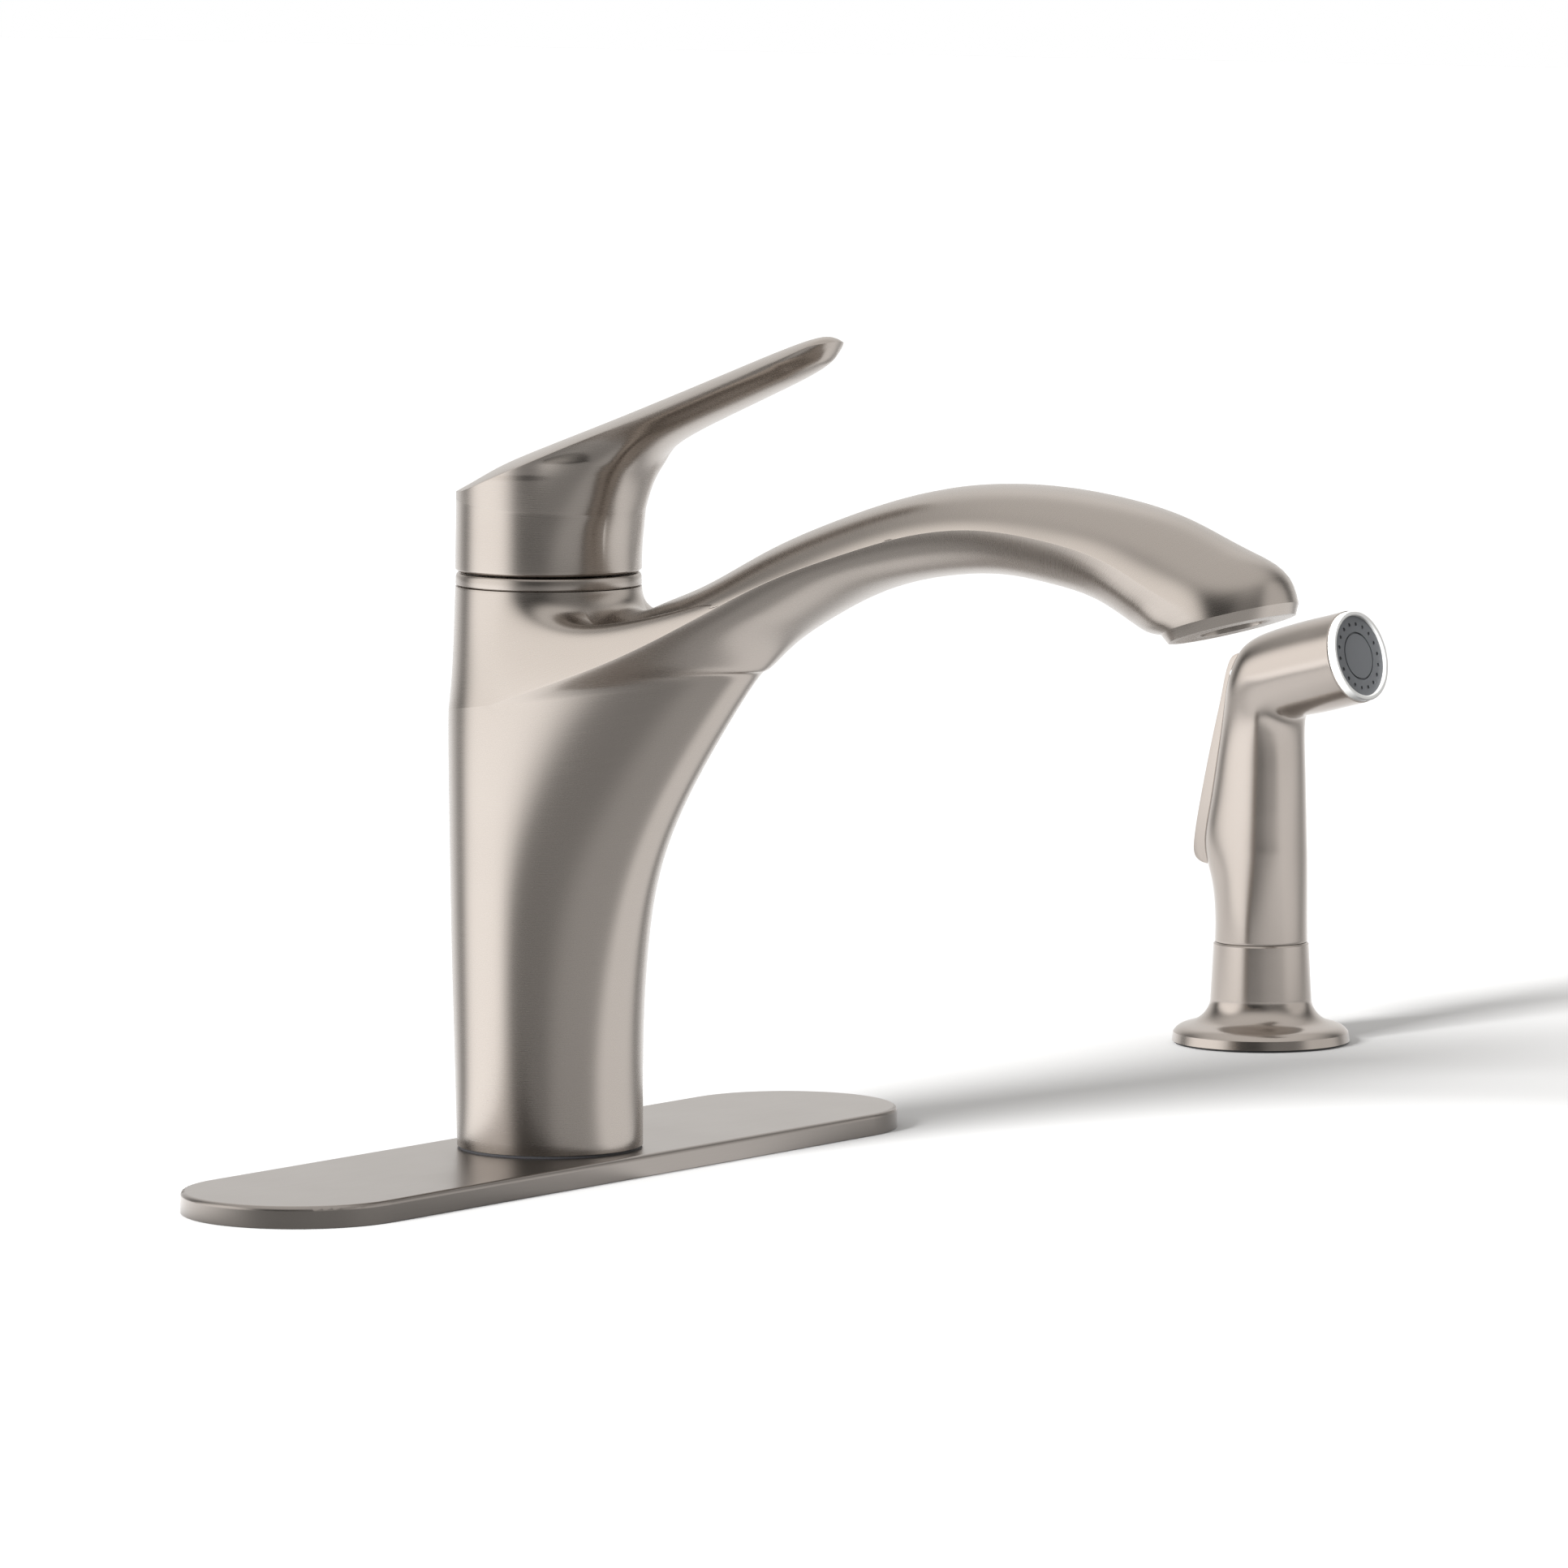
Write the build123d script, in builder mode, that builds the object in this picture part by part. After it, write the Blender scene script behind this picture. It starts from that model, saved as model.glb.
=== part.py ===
from build123d import *
import os
from math import atan2, cos, radians, sin, tan

# Single-lever kitchen faucet on a deck plate, with a side spray in its own holder.
# Millimetres. Z is up and z = 0 is the top of the sink deck. The origin is the middle of the
# faucet's body. The spout and the lever point to -Y, the side spray stands at +X.
# "reach" is a distance forward of the body's axis, so reach = -Y.

# ---------------------------------------------------------------- fits and clearances
running_gap = 0.05      # radial, shaft in bush
seat_gap = 0.05         # axial, between faces that turn on each other
joint_gap = 0.3         # between curved faces on pieces that move apart
thread_gap = 0.05       # between a nut and its thread
press_gap = 0.02        # radial, pin held in its hole

# ---------------------------------------------------------------- deck plate
plate_length = 260.0
plate_width = 60.0
plate_height = 5.5
plate_wall = 1.4
plate_edge_round = 1.2
shank_hole_r = 17.5     # a 35 mm hole in the sink
base_ring_height = 0.6
base_ring_inset = 0.3

# ---------------------------------------------------------------- body and spout
body_foot_r = 24.1
body_wall = 3.6
crease_r = 26.2         # widest ring of the body, where the swept spout starts
crease_height = 112.45  # of the crease's back above the body's foot
body_top_r = 24.05
body_height = 145.15
lip_r = 17.3            # round lip at the spout's end
mouth_r = 16.0          # flat end face inside the lip's chamfer
mouth_tilt = 16.0       # of the end face, degrees
lip_drop = 2.6          # from lip to end face
lip_step = 0.15         # where the lip's chamfer starts, inside the lip
mouth_reach = 214.4     # centre of the end face
mouth_height = 144.9    # above the body's foot
waterway_r = 6.0
aerator_r = 8.0
aerator_depth = 11.0
aerator_inset = 1.2     # aerator inside the mouth
aerator_wall = 1.1
aerator_washer_thick = 1.0
screen_inset = 0.6      # screen inside the aerator
screen_thick = 2.0
screen_pitch = 1.7
screen_hole = 1.15
crease_ledge = 0.25     # step at the crease, under the collar
crease_sink = 0.6       # how far the collar's foot sinks into the column
collar_mid_rise = 12.0  # collar's middle section above the crease
collar_swell = 0.85     # of that section beyond the collar's top
circle_pull = 0.5523    # handle length that turns a Bezier quarter into a circle

# Sections across the body and the spout, from the foot upwards. Each is a plane through two
# points of the side view: the back or top point and the front or under point, as
# (reach, height above the foot). Then the half width at the side crease and the crease's
# share of the way from the top point to the under point.
column_rows = [
    ((-24.7, 26.0), (24.4, 26.0), 24.7, 0.50),
    ((-25.4, 56.0), (27.9, 56.0), 25.4, 0.475),
    ((-25.9, 85.0), (40.0, 88.0), 25.9, 0.40),
]
crease_front = (66.0, 124.2)    # under point of the section that holds the back crease
crease_share = 0.30
spout_rows = [
    ((8.0, 130.3), (70.4, 127.3), 24.9, 0.49),
    ((33.0, 140.1), (77.3, 133.6), 24.0, 0.53),
    ((56.3, 148.6), (90.8, 141.9), 23.0, 0.51),
    ((76.0, 158.4), (104.1, 147.8), 22.0, 0.53),
    ((100.5, 168.1), (118.4, 152.0), 20.9, 0.54),
    ((126.0, 175.2), (132.2, 154.3), 19.8, 0.50),
    ((152.0, 177.7), (147.0, 155.0), 18.8, 0.46),
    ((176.8, 176.0), (162.1, 153.3), 18.0, 0.46),
    ((199.6, 170.9), (177.2, 149.6), 17.5, 0.47),
    ((217.3, 164.1), (187.2, 144.7), 17.4, 0.49),
]
drawn_mouth = (214.4, 144.9)    # the mouth that the rows above lead to
# middle line of the waterway from the gallery to the mouth, as (reach, height above the foot)
water_rows = [(44.0, 126.0), (84.0, 150.0), (124.0, 164.0), (168.0, 165.5), (200.0, 156.0)]
water_bend = 16.0       # radius of its bends
water_start_rise = 5.0  # its start above the middle of the gallery
dome_lean = 0.13        # how far the dome leans in at the crease, share of the half width
keel_lean = 0.10        # the same below the crease

# ---------------------------------------------------------------- valve inside the body
foot_height = 8.0
valve_foot_step = 1.8
inlet_depth = 3.0       # hollow of the shank above the deck plate's ring
bush_height = 6.0
oring_r = 1.4
oring_squeeze = 0.9     # seated ring's share of its free radius
oring_bury = 1.75       # depth of its groove in ring radii
upper_oring_rise = 2.4  # above the gallery
head_drop = 2.3         # valve body's top below the body's top
bush_drop = 2.5         # upper bush below the valve body's top
bush_groove_depth = 1.6
gallery_drop = 47.15    # middle of the water gallery below the body's top
gallery_length = 24.0
diverter_hole_r = 6.0
diverter_bore_r = 4.0
diverter_travel = 3.0
piston_head = 3.2
piston_pin_r = 1.5
piston_pin = 4.5
spring_r = 3.2
spring_wire = 1.0
land_length = 8.0
column_inset = 3.4      # column inside the body's bore
cartridge_wall = 3.0
cartridge_sink = 1.0    # cartridge's shoulder below the valve body's top
cartridge_floor = 8.0   # solid foot of the cartridge under the stem's bore
seal_thick = 1.2
cartridge_length = 26.0
neck_length = 8.2
neck_r = 11.5
stem_r = 4.5
stem_foot = 12.0        # stem's lower end above the cartridge's foot
stem_travel = 5.45
stem_flat = 1.5         # across the stem's flats, in stem radii
passage_r = 3.4
passage_spread = 7.4    # supply passages from the axis
passage_turn = 30       # of the first passage, degrees
passage_rise = 6.0      # depth of a passage in the cartridge
nut_height = 5.0
nut_slots = 6
nut_slot_width = 3.0
nut_slot_depth = 2.0
trim_height = 3.35
trim_step = 0.3         # trim ring's top is smaller than its foot

# ---------------------------------------------------------------- below the deck
deck_thick = 15.0       # sink and worktop between plate and washer
shank_r = 15.9
shank_wall = 3.1
shank_length = 58.0
washer_r = 27.0
washer_thick = 2.0
mounting_nut_height = 12.0
mounting_nut_across = 46.0
nipple_r = 4.8
nipple_bore_r = 3.2
nipple_drop = 20.0      # below the shank
nipple_socket = 12.0    # depth in the valve body
nipple_hex_gap = 0.6     # wrench collar around a nipple, beyond the tube
nipple_hex_height = 4.0
nipple_hex_drop = 10.0   # from the nipple's end to its collar

# ---------------------------------------------------------------- lever
cap_gap = 0.3
cap_foot_r = 24.05
cap_wall = 3.05
cap_back_height = 21.0  # back rim above the cap's foot
lever_slope = 20.3      # of the lever's top, degrees
crown_r = 80.0          # across the lever's top
cap_room_height = 14.0
stem_room_r = 9.0
stem_room_height = 21.0
hinge_back = 17.6       # hinge pin behind the axis
hinge_height = 8.0      # above the cap's foot
hinge_pin_r = 1.2
hinge_eye_r = 2.2
knuckle_half = 2.6
ear_width = 3.0
lift_angle = 18.0
prong_half_depth = 2.5
prong_thick = 2.4
prong_play = 1.2        # between prong and stem shoulders
stem_neck_r = 2.6
stem_head_r = 6.0
stem_head_thick = 2.6
carrier_thick = 3.0
lever_tip_reach = 92.3
lever_tip_r = 9.5
# blade sections: top point, under point as (reach, height above the cap's foot), half width
blade_rows = [
    ((4.0, 42.0), (24.6, 2.0), 15.0),
    ((10.0, 46.0), (26.0, 14.0), 17.5),
    ((18.0, 49.0), (30.6, 24.2), 17.5),
    ((30.0, 53.0), (38.6, 32.2), 15.5),
    ((46.0, 58.0), (50.4, 38.3), 13.4),
    ((68.0, 66.0), (68.4, 45.8), 11.6),
    ((84.0, 72.0), (82.6, 51.9), 10.6),
    ((97.0, 76.0), (93.5, 58.4), 10.0),
]

# ---------------------------------------------------------------- side spray
spray_x = 323.0
flange_r = 25.4
flange_edge = 3.0
flange_top = 4.8
collar_r = 13.6
collar_root_r = 14.4
collar_root_height = 13.0
holder_height = 28.8
spray_gasket_thick = 0.5
gasket_inset = 0.6      # gasket's edge inside the flange's
holder_bore_r = 11.9
sleeve_wall = 2.0
sleeve_thread_r = 13.6
sleeve_drop = 45.0
spray_nut_r = 20.0
spray_nut_height = 10.0
tail_drop = 23.0
tail_seat = 8.0         # depth of the tail's socket in the handset
tail_taper = 1.2
tail_bore_r = 3.5
handset_foot_r = 13.2
barrel_r = 13.2
barrel_tilt = 14.2
barrel_end_reach = 31.8
barrel_end_height = 83.1   # axis at the barrel's end, above the handset's foot
# grip sections: back point, front point as (reach, height above the handset's foot), half width
grip_rows = [
    ((-13.0, 11.0), (12.9, 11.0), 13.0),
    ((-15.3, 21.0), (12.5, 21.0), 12.6),
    ((-17.4, 28.0), (12.3, 27.0), 12.3),
    ((-14.2, 47.0), (11.8, 46.0), 11.8),
    ((-10.6, 69.0), (11.0, 62.5), 11.2),
    ((-8.4, 78.5), (11.7, 64.2), 12.0),
    ((-4.2, 85.0), (13.2, 65.0), 12.8),
    ((3.2, 89.3), (16.2, 65.8), 13.1),
]
handset_channel_r = 4.5
handset_channel_reach = 3.0
barrel_bore_r = 9.5
barrel_straight = 14.0  # round length behind the barrel's end
nozzle_ring_length = 2.2
nozzle_ring_wall = 1.4
nozzle_ring_inset = 0.3
face_recess = 0.9
face_start = 0.65       # back of the face beyond the barrel's end
jet_count = 18
jet_r = 0.55
jet_circle_r = 9.2
button_r = 6.4
button_gap = 0.5
trigger_half = 6.0
trigger_pin_r = 1.2
trigger_pin_half = 8.8
trigger_pin_reach = -4.0
trigger_pin_height = 77.0
# trigger outline in side view as (reach, height above the handset's foot)
trigger_back = [
    (-18.7, 22.6), (-19.9, 26.5), (-17.0, 43.5), (-12.7, 62.5), (-8.3, 78.5), (-5.6, 81.6),
]
trigger_front = [(-2.3, 78.6), (-2.3, 76.0), (-9.3, 45.0), (-13.2, 26.5), (-13.4, 21.8)]
# floor of the trigger's pocket in the grip, from its lower end to its upper end
pocket_floor = [
    (-9.2, 20.2), (-8.9, 26.0), (-6.4, 45.0), (-1.2, 74.5), (-1.2, 79.8), (-4.0, 83.4),
]
pocket_open = -30.0     # reach at which the pocket is well outside the grip
trigger_round = 1.0
plunger_height = 45.0
plunger_r = 2.5
plunger_back = -8.4     # reach of its outer end
plunger_shank = 7.6
plunger_tip_r = 1.5
plunger_tip = 3.5
plunger_bore_start = -12.0
plunger_bore = 18.0

# ================================================================ worked-out sizes
base_ring_top = plate_height + base_ring_height
foot_z = base_ring_top + seat_gap
body_top_z = foot_z + body_height
bore_r = body_foot_r - body_wall
head_r = bore_r - joint_gap
bush_r = bore_r - running_gap
column_r = bore_r - column_inset
valve_foot_r = column_r + valve_foot_step
gallery_z = body_top_z - gallery_drop
gallery_low = gallery_z - gallery_length / 2
gallery_high = gallery_z + gallery_length / 2
valve_foot_top = base_ring_top + foot_height
inlet_floor_z = base_ring_top - inlet_depth
trim_z = body_top_z + seat_gap
trim_top = trim_z + trim_height
head_top = body_top_z - head_drop
cartridge_r = head_r - cartridge_wall
cartridge_top = head_top - cartridge_sink
cartridge_z = cartridge_top - cartridge_length
neck_top = cartridge_top + neck_length
cap_z = trim_top + cap_gap
cap_inner_r = cap_foot_r - cap_wall
hinge_z = cap_z + hinge_height
carrier_z = neck_top + seat_gap
handset_z = holder_height + seat_gap
shank_z = -shank_length + plate_height
nut_z = -deck_thick - washer_thick - mounting_nut_height
sleeve_r = holder_bore_r - running_gap
sleeve_bore_r = sleeve_r - sleeve_wall
tail_r = sleeve_bore_r - joint_gap


def side_plane(origin_x, top, under, share=0.0):
    """Plane across the spout: local x is X, local y runs from the under to the top point."""
    reach = top[0] + (under[0] - top[0]) * share
    height = top[1] + (under[1] - top[1]) * share
    up_reach = top[0] - under[0]
    up_height = top[1] - under[1]
    return Plane(
        origin=(origin_x, -reach, height), x_dir=(1, 0, 0), z_dir=(0, -up_height, -up_reach)
    )


def lens(origin_x, top, under, half_width, share=0.5, lean=0.0, keel=0.0, pull=circle_pull):
    """Closed section of four Bezier quarters, with its side corners at the crease."""
    depth = ((top[0] - under[0]) ** 2 + (top[1] - under[1]) ** 2) ** 0.5
    above = depth * share
    below = depth - above
    low_pull = pull if share == 0.5 else 0.45
    with BuildSketch(side_plane(origin_x, top, under, share)) as section:
        with BuildLine():
            for side in (1, -1):
                edge = side * half_width
                Bezier(
                    (edge, 0), (edge * (1 - lean), pull * above),
                    (edge * pull, above), (0, above),
                )
                Bezier(
                    (edge, 0), (edge * (1 - keel), -low_pull * below),
                    (edge * low_pull, -below), (0, -below),
                )
        make_face()
    return section.sketch.face()


def lifted(point, height):
    """A side-view point given above a foot, as (reach, z)."""
    return (point[0], point[1] + height)


def with_mouth(point, reach):
    """A point of the spout, moved with the mouth by the share of the way that reach is."""
    share = reach / drawn_mouth[0]
    return (
        point[0] + share * (mouth_reach - drawn_mouth[0]),
        point[1] + share * (mouth_height - drawn_mouth[1]),
    )


def across(reach, z, tilt, origin_x=0.0):
    """Plane square to an axis in the side view that rises forward by tilt degrees."""
    angle = radians(tilt)
    return Plane(origin=(origin_x, -reach, z), x_dir=(1, 0, 0), z_dir=(0, -cos(angle), sin(angle)))


side_view = Plane(origin=(0, 0, 0), x_dir=(0, -1, 0), z_dir=(-1, 0, 0))     # local x = reach
spray_side_view = Plane(origin=(spray_x, 0, 0), x_dir=(0, -1, 0), z_dir=(-1, 0, 0))
front_view = Plane(origin=(0, 0, 0), x_dir=(1, 0, 0), z_dir=(0, -1, 0))
spray_front_view = Plane(origin=(spray_x, 0, 0), x_dir=(1, 0, 0), z_dir=(0, -1, 0))
spray_axis = Axis((spray_x, 0, 0), (0, 0, 1))


def level(z, x=0.0, y=0.0):
    """Horizontal plane at a height, over a place on the deck."""
    return Plane(origin=(x, y, z), x_dir=(1, 0, 0), z_dir=(0, 0, 1))


# ================================================================ deck plate
with BuildPart() as deck_plate:
    with BuildSketch(level(0)):
        SlotOverall(plate_length, plate_width)
    extrude(amount=plate_height)
    fillet(deck_plate.faces().sort_by(Axis.Z)[-1].edges(), plate_edge_round)
    with BuildSketch(level(0)):
        SlotOverall(plate_length - 2 * plate_wall, plate_width - 2 * plate_wall)
    extrude(amount=plate_height - plate_wall, mode=Mode.SUBTRACT)
    with BuildSketch(level(0)):
        Circle(shank_hole_r)
    extrude(amount=plate_height, mode=Mode.SUBTRACT)
deck_plate.part.label = "deck_plate"

tray_pocket_length = plate_length / 2 - shank_hole_r - 24
tray_rib = 3.0
with BuildPart() as plate_tray:
    with BuildSketch(level(0)):
        SlotOverall(
            plate_length - 2 * (plate_wall + joint_gap), plate_width - 2 * (plate_wall + joint_gap)
        )
        Circle(shank_hole_r, mode=Mode.SUBTRACT)
    extrude(amount=plate_height - plate_wall)
    pocket_width = (plate_width - 2 * plate_wall - 5 * tray_rib) / 3
    with BuildSketch(level(plate_height - plate_wall)):
        for side in (1, -1):
            with Locations((side * (shank_hole_r + 8 + tray_pocket_length / 2), 0)):
                with GridLocations(0, pocket_width + tray_rib, 1, 3):
                    Rectangle(tray_pocket_length, pocket_width)
    extrude(amount=-(plate_height - plate_wall - 1.6), mode=Mode.SUBTRACT)
plate_tray.part.label = "plate_tray"

with BuildPart() as base_ring:
    with BuildSketch(level(plate_height)):
        Circle(body_foot_r - base_ring_inset)
        Circle(shank_r + joint_gap, mode=Mode.SUBTRACT)
    extrude(amount=base_ring_height)
base_ring.part.label = "base_ring"

# ================================================================ valve body
land_low = gallery_low - land_length
groove_r = head_r - oring_bury * oring_r
bush_groove_r = head_r - bush_groove_depth
bush_groove_top = head_top - bush_drop
lower_oring_z = gallery_low - land_length / 2
upper_oring_z = gallery_high + upper_oring_rise
with BuildPart() as valve_body:
    with BuildSketch(front_view):
        with BuildLine():
            Polyline(
                (0, inlet_floor_z),
                (shank_r - shank_wall, inlet_floor_z),
                (shank_r - shank_wall, shank_z),
                (shank_r, shank_z),
                (shank_r, base_ring_top),
                (valve_foot_r, base_ring_top),
                (valve_foot_r, valve_foot_top),
                (column_r, valve_foot_top),
                (column_r, land_low),
                (head_r, land_low),
                (head_r, lower_oring_z - oring_r),
                (groove_r, lower_oring_z - oring_r),
                (groove_r, lower_oring_z + oring_r),
                (head_r, lower_oring_z + oring_r),
                (head_r, gallery_low),
                (column_r, gallery_low),
                (column_r, gallery_high),
                (head_r, gallery_high),
                (head_r, upper_oring_z - oring_r),
                (groove_r, upper_oring_z - oring_r),
                (groove_r, upper_oring_z + oring_r),
                (head_r, upper_oring_z + oring_r),
                (head_r, bush_groove_top - bush_height),
                (bush_groove_r, bush_groove_top - bush_height),
                (bush_groove_r, bush_groove_top),
                (head_r, bush_groove_top),
                (head_r, head_top),
                (cartridge_r, head_top),
                (cartridge_r, cartridge_z - seal_thick),
                (0, cartridge_z - seal_thick),
                close=True,
            )
        make_face()
    revolve(axis=Axis.Z)
    # sockets for the three nipples, and the passages above them
    with BuildSketch(level(inlet_floor_z)):
        with PolarLocations(passage_spread, 3, start_angle=passage_turn):
            Circle(nipple_r + thread_gap)
    extrude(amount=nipple_socket, mode=Mode.SUBTRACT)
    with BuildSketch(level(inlet_floor_z)):
        with PolarLocations(passage_spread, 3, start_angle=passage_turn):
            Circle(passage_r)
    extrude(amount=cartridge_z - base_ring_top, mode=Mode.SUBTRACT)
    # the diverter's bore, open to the gallery at the front
    with BuildSketch(across(column_r + 1, gallery_z, 0)):
        Circle(diverter_hole_r)
    extrude(amount=-(column_r - 1), mode=Mode.SUBTRACT)
valve_body.part.label = "valve_body"

with BuildPart() as lower_bush:
    with BuildSketch(level(valve_foot_top)):
        Circle(bush_r)
        Circle(column_r + running_gap, mode=Mode.SUBTRACT)
    extrude(amount=bush_height)
lower_bush.part.label = "lower_bush"

with BuildPart() as upper_bush:
    with BuildSketch(level(bush_groove_top - bush_height + seat_gap)):
        Circle(bush_r)
        Circle(bush_groove_r + running_gap, mode=Mode.SUBTRACT)
    extrude(amount=bush_height - 2 * seat_gap)
upper_bush.part.label = "upper_bush"

with BuildPart() as lower_oring:
    with BuildSketch(front_view):
        with Locations((bush_r - oring_r * oring_squeeze, lower_oring_z)):
            Circle(oring_r * oring_squeeze)
    revolve(axis=Axis.Z)
lower_oring.part.label = "lower_oring"

with BuildPart() as upper_oring:
    with BuildSketch(front_view):
        with Locations((bush_r - oring_r * oring_squeeze, upper_oring_z)):
            Circle(oring_r * oring_squeeze)
    revolve(axis=Axis.Z)
upper_oring.part.label = "upper_oring"

# ================================================================ diverter for the side spray
diverter_r = diverter_hole_r - running_gap
diverter_length = column_r - 2.5
sleeve_front = column_r - 0.3
piston_front = sleeve_front - 1.0
piston_back = piston_front - piston_head
spring_front = piston_back - diverter_travel - 0.4
with BuildPart() as diverter_sleeve:
    with BuildSketch(across(sleeve_front, gallery_z, 0)):
        Circle(diverter_r)
        Circle(diverter_bore_r, mode=Mode.SUBTRACT)
    extrude(amount=-diverter_length)
    with BuildSketch(level(gallery_z - diverter_r - 1, 0, -passage_spread)):
        Circle(passage_r - 1)
    extrude(amount=2 * diverter_r + 2, mode=Mode.SUBTRACT)
diverter_sleeve.part.label = "diverter_sleeve"

with BuildPart() as diverter_piston:
    with BuildSketch(across(piston_front, gallery_z, 0)):
        Circle(diverter_bore_r - running_gap)
    extrude(amount=-piston_head)
    with BuildSketch(across(piston_back, gallery_z, 0)):
        Circle(piston_pin_r)
    extrude(amount=-piston_pin)
diverter_piston.part.label = "diverter_piston"

with BuildPart() as diverter_spring:
    with BuildSketch(across(spring_front, gallery_z, 0)):
        Circle(spring_r)
        Circle(spring_r - spring_wire, mode=Mode.SUBTRACT)
    extrude(amount=-(diverter_length - sleeve_front + spring_front))
diverter_spring.part.label = "diverter_spring"

# ================================================================ cartridge and its stem
with BuildPart() as cartridge_seal:
    with BuildSketch(level(cartridge_z - seal_thick)):
        Circle(cartridge_r - 0.3)
        with PolarLocations(passage_spread, 3, start_angle=passage_turn):
            Circle(passage_r, mode=Mode.SUBTRACT)
    extrude(amount=seal_thick)
cartridge_seal.part.label = "cartridge_seal"

with BuildPart() as cartridge:
    with BuildSketch(level(cartridge_z)):
        Circle(cartridge_r - 0.1)
    extrude(amount=cartridge_length)
    with BuildSketch(level(cartridge_top)):
        Circle(neck_r)
    extrude(amount=neck_length)
    with BuildSketch(level(cartridge_z)):
        with PolarLocations(passage_spread, 3, start_angle=passage_turn):
            Circle(passage_r)
    extrude(amount=passage_rise, mode=Mode.SUBTRACT)
    with BuildSketch(level(cartridge_z + cartridge_floor)):
        Circle(stem_r + running_gap)
    extrude(amount=cartridge_length + neck_length, mode=Mode.SUBTRACT)
cartridge.part.label = "cartridge"

with BuildPart() as cartridge_nut:
    with BuildSketch(level(cartridge_top)):
        Circle(cartridge_r - thread_gap)
        Circle(neck_r + 0.2, mode=Mode.SUBTRACT)
    extrude(amount=nut_height)
    with BuildSketch(level(cartridge_top + nut_height)):
        with PolarLocations(cartridge_r, nut_slots):
            Rectangle(nut_slot_width + 1, nut_slot_width)
    extrude(amount=-nut_slot_depth, mode=Mode.SUBTRACT)
cartridge_nut.part.label = "cartridge_nut"

trim_inner_r = cartridge_r + 0.25
with BuildPart() as trim_ring:
    with BuildSketch(front_view):
        with BuildLine():
            Polyline(
                (trim_inner_r, trim_top - 0.4),
                (trim_inner_r, head_top),
                (head_r - joint_gap, head_top),
                (head_r - joint_gap, trim_z),
                (body_top_r - 0.15, trim_z),
                (body_top_r - 0.1, trim_z + 0.9),
            )
            ThreePointArc(
                (body_top_r - 0.1, trim_z + 0.9),
                (body_top_r - 0.35 * trim_step - 0.15, trim_top - 0.6),
                (body_top_r - trim_step - 0.3, trim_top),
            )
            Polyline(
                (body_top_r - trim_step - 0.3, trim_top),
                (trim_inner_r + 0.4, trim_top),
                (trim_inner_r, trim_top - 0.4),
            )
        make_face()
    revolve(axis=Axis.Z)
trim_ring.part.label = "trim_ring"

shoulder_top = hinge_z - prong_thick / 2 - prong_play
head_bottom = hinge_z + prong_thick / 2 + prong_play
stem_z = cartridge_z + stem_foot
flat_z = carrier_z - stem_travel - joint_gap
with BuildPart() as cartridge_stem:
    with BuildSketch(level(stem_z)):
        Circle(stem_r)
    extrude(amount=shoulder_top - stem_z)
    with BuildSketch(level(flat_z)):
        Rectangle(2 * stem_r, 2 * stem_r)
        Rectangle(2 * stem_r, stem_flat * stem_r, mode=Mode.SUBTRACT)
    extrude(amount=shoulder_top - flat_z, mode=Mode.SUBTRACT)
    with BuildSketch(level(shoulder_top)):
        Circle(stem_neck_r)
    extrude(amount=head_bottom - shoulder_top)
    with BuildSketch(level(head_bottom)):
        Circle(stem_head_r)
    extrude(amount=stem_head_thick)
    chamfer(cartridge_stem.faces().sort_by(Axis.Z)[-1].edges(), 0.5)
cartridge_stem.part.label = "cartridge_stem"

# ================================================================ lever carrier, pin and lever
ear_outer = knuckle_half + running_gap + ear_width
with BuildPart() as lever_carrier:
    with BuildSketch(level(carrier_z)):
        Circle(neck_r - 2.0)
        with Locations((0, hinge_back / 2)):
            Rectangle(2 * ear_outer, hinge_back)
        with BuildSketch(mode=Mode.SUBTRACT):
            Circle(stem_r + running_gap)
            Rectangle(2 * stem_r + 1, stem_flat * stem_r + 2 * running_gap, mode=Mode.INTERSECT)
    extrude(amount=carrier_thick)
    with BuildSketch(side_view):
        with BuildLine():
            Polyline(
                (-hinge_back + hinge_eye_r, carrier_z),
                (-hinge_back + 0.2, carrier_z),
                (-hinge_back + 0.2, hinge_z),
                (-hinge_back + hinge_eye_r, hinge_z),
                close=True,
            )
        make_face()
        with Locations((-hinge_back, hinge_z)):
            Circle(hinge_eye_r)
    extrude(amount=ear_outer, both=True)
    with BuildSketch(side_view):
        with Locations((-hinge_back, (hinge_z + carrier_z + carrier_thick) / 2 + 2)):
            Rectangle(4 * hinge_eye_r, hinge_z - carrier_z - carrier_thick + 4)
    extrude(amount=knuckle_half + running_gap, both=True, mode=Mode.SUBTRACT)
    with BuildSketch(side_view):
        with Locations((-hinge_back, hinge_z)):
            Circle(hinge_pin_r + press_gap)
    extrude(amount=ear_outer, both=True, mode=Mode.SUBTRACT)
lever_carrier.part.label = "lever_carrier"

with BuildPart() as lever_pin:
    with BuildSketch(side_view):
        with Locations((-hinge_back, hinge_z)):
            Circle(hinge_pin_r)
    extrude(amount=ear_outer, both=True)
lever_pin.part.label = "lever_pin"

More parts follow.
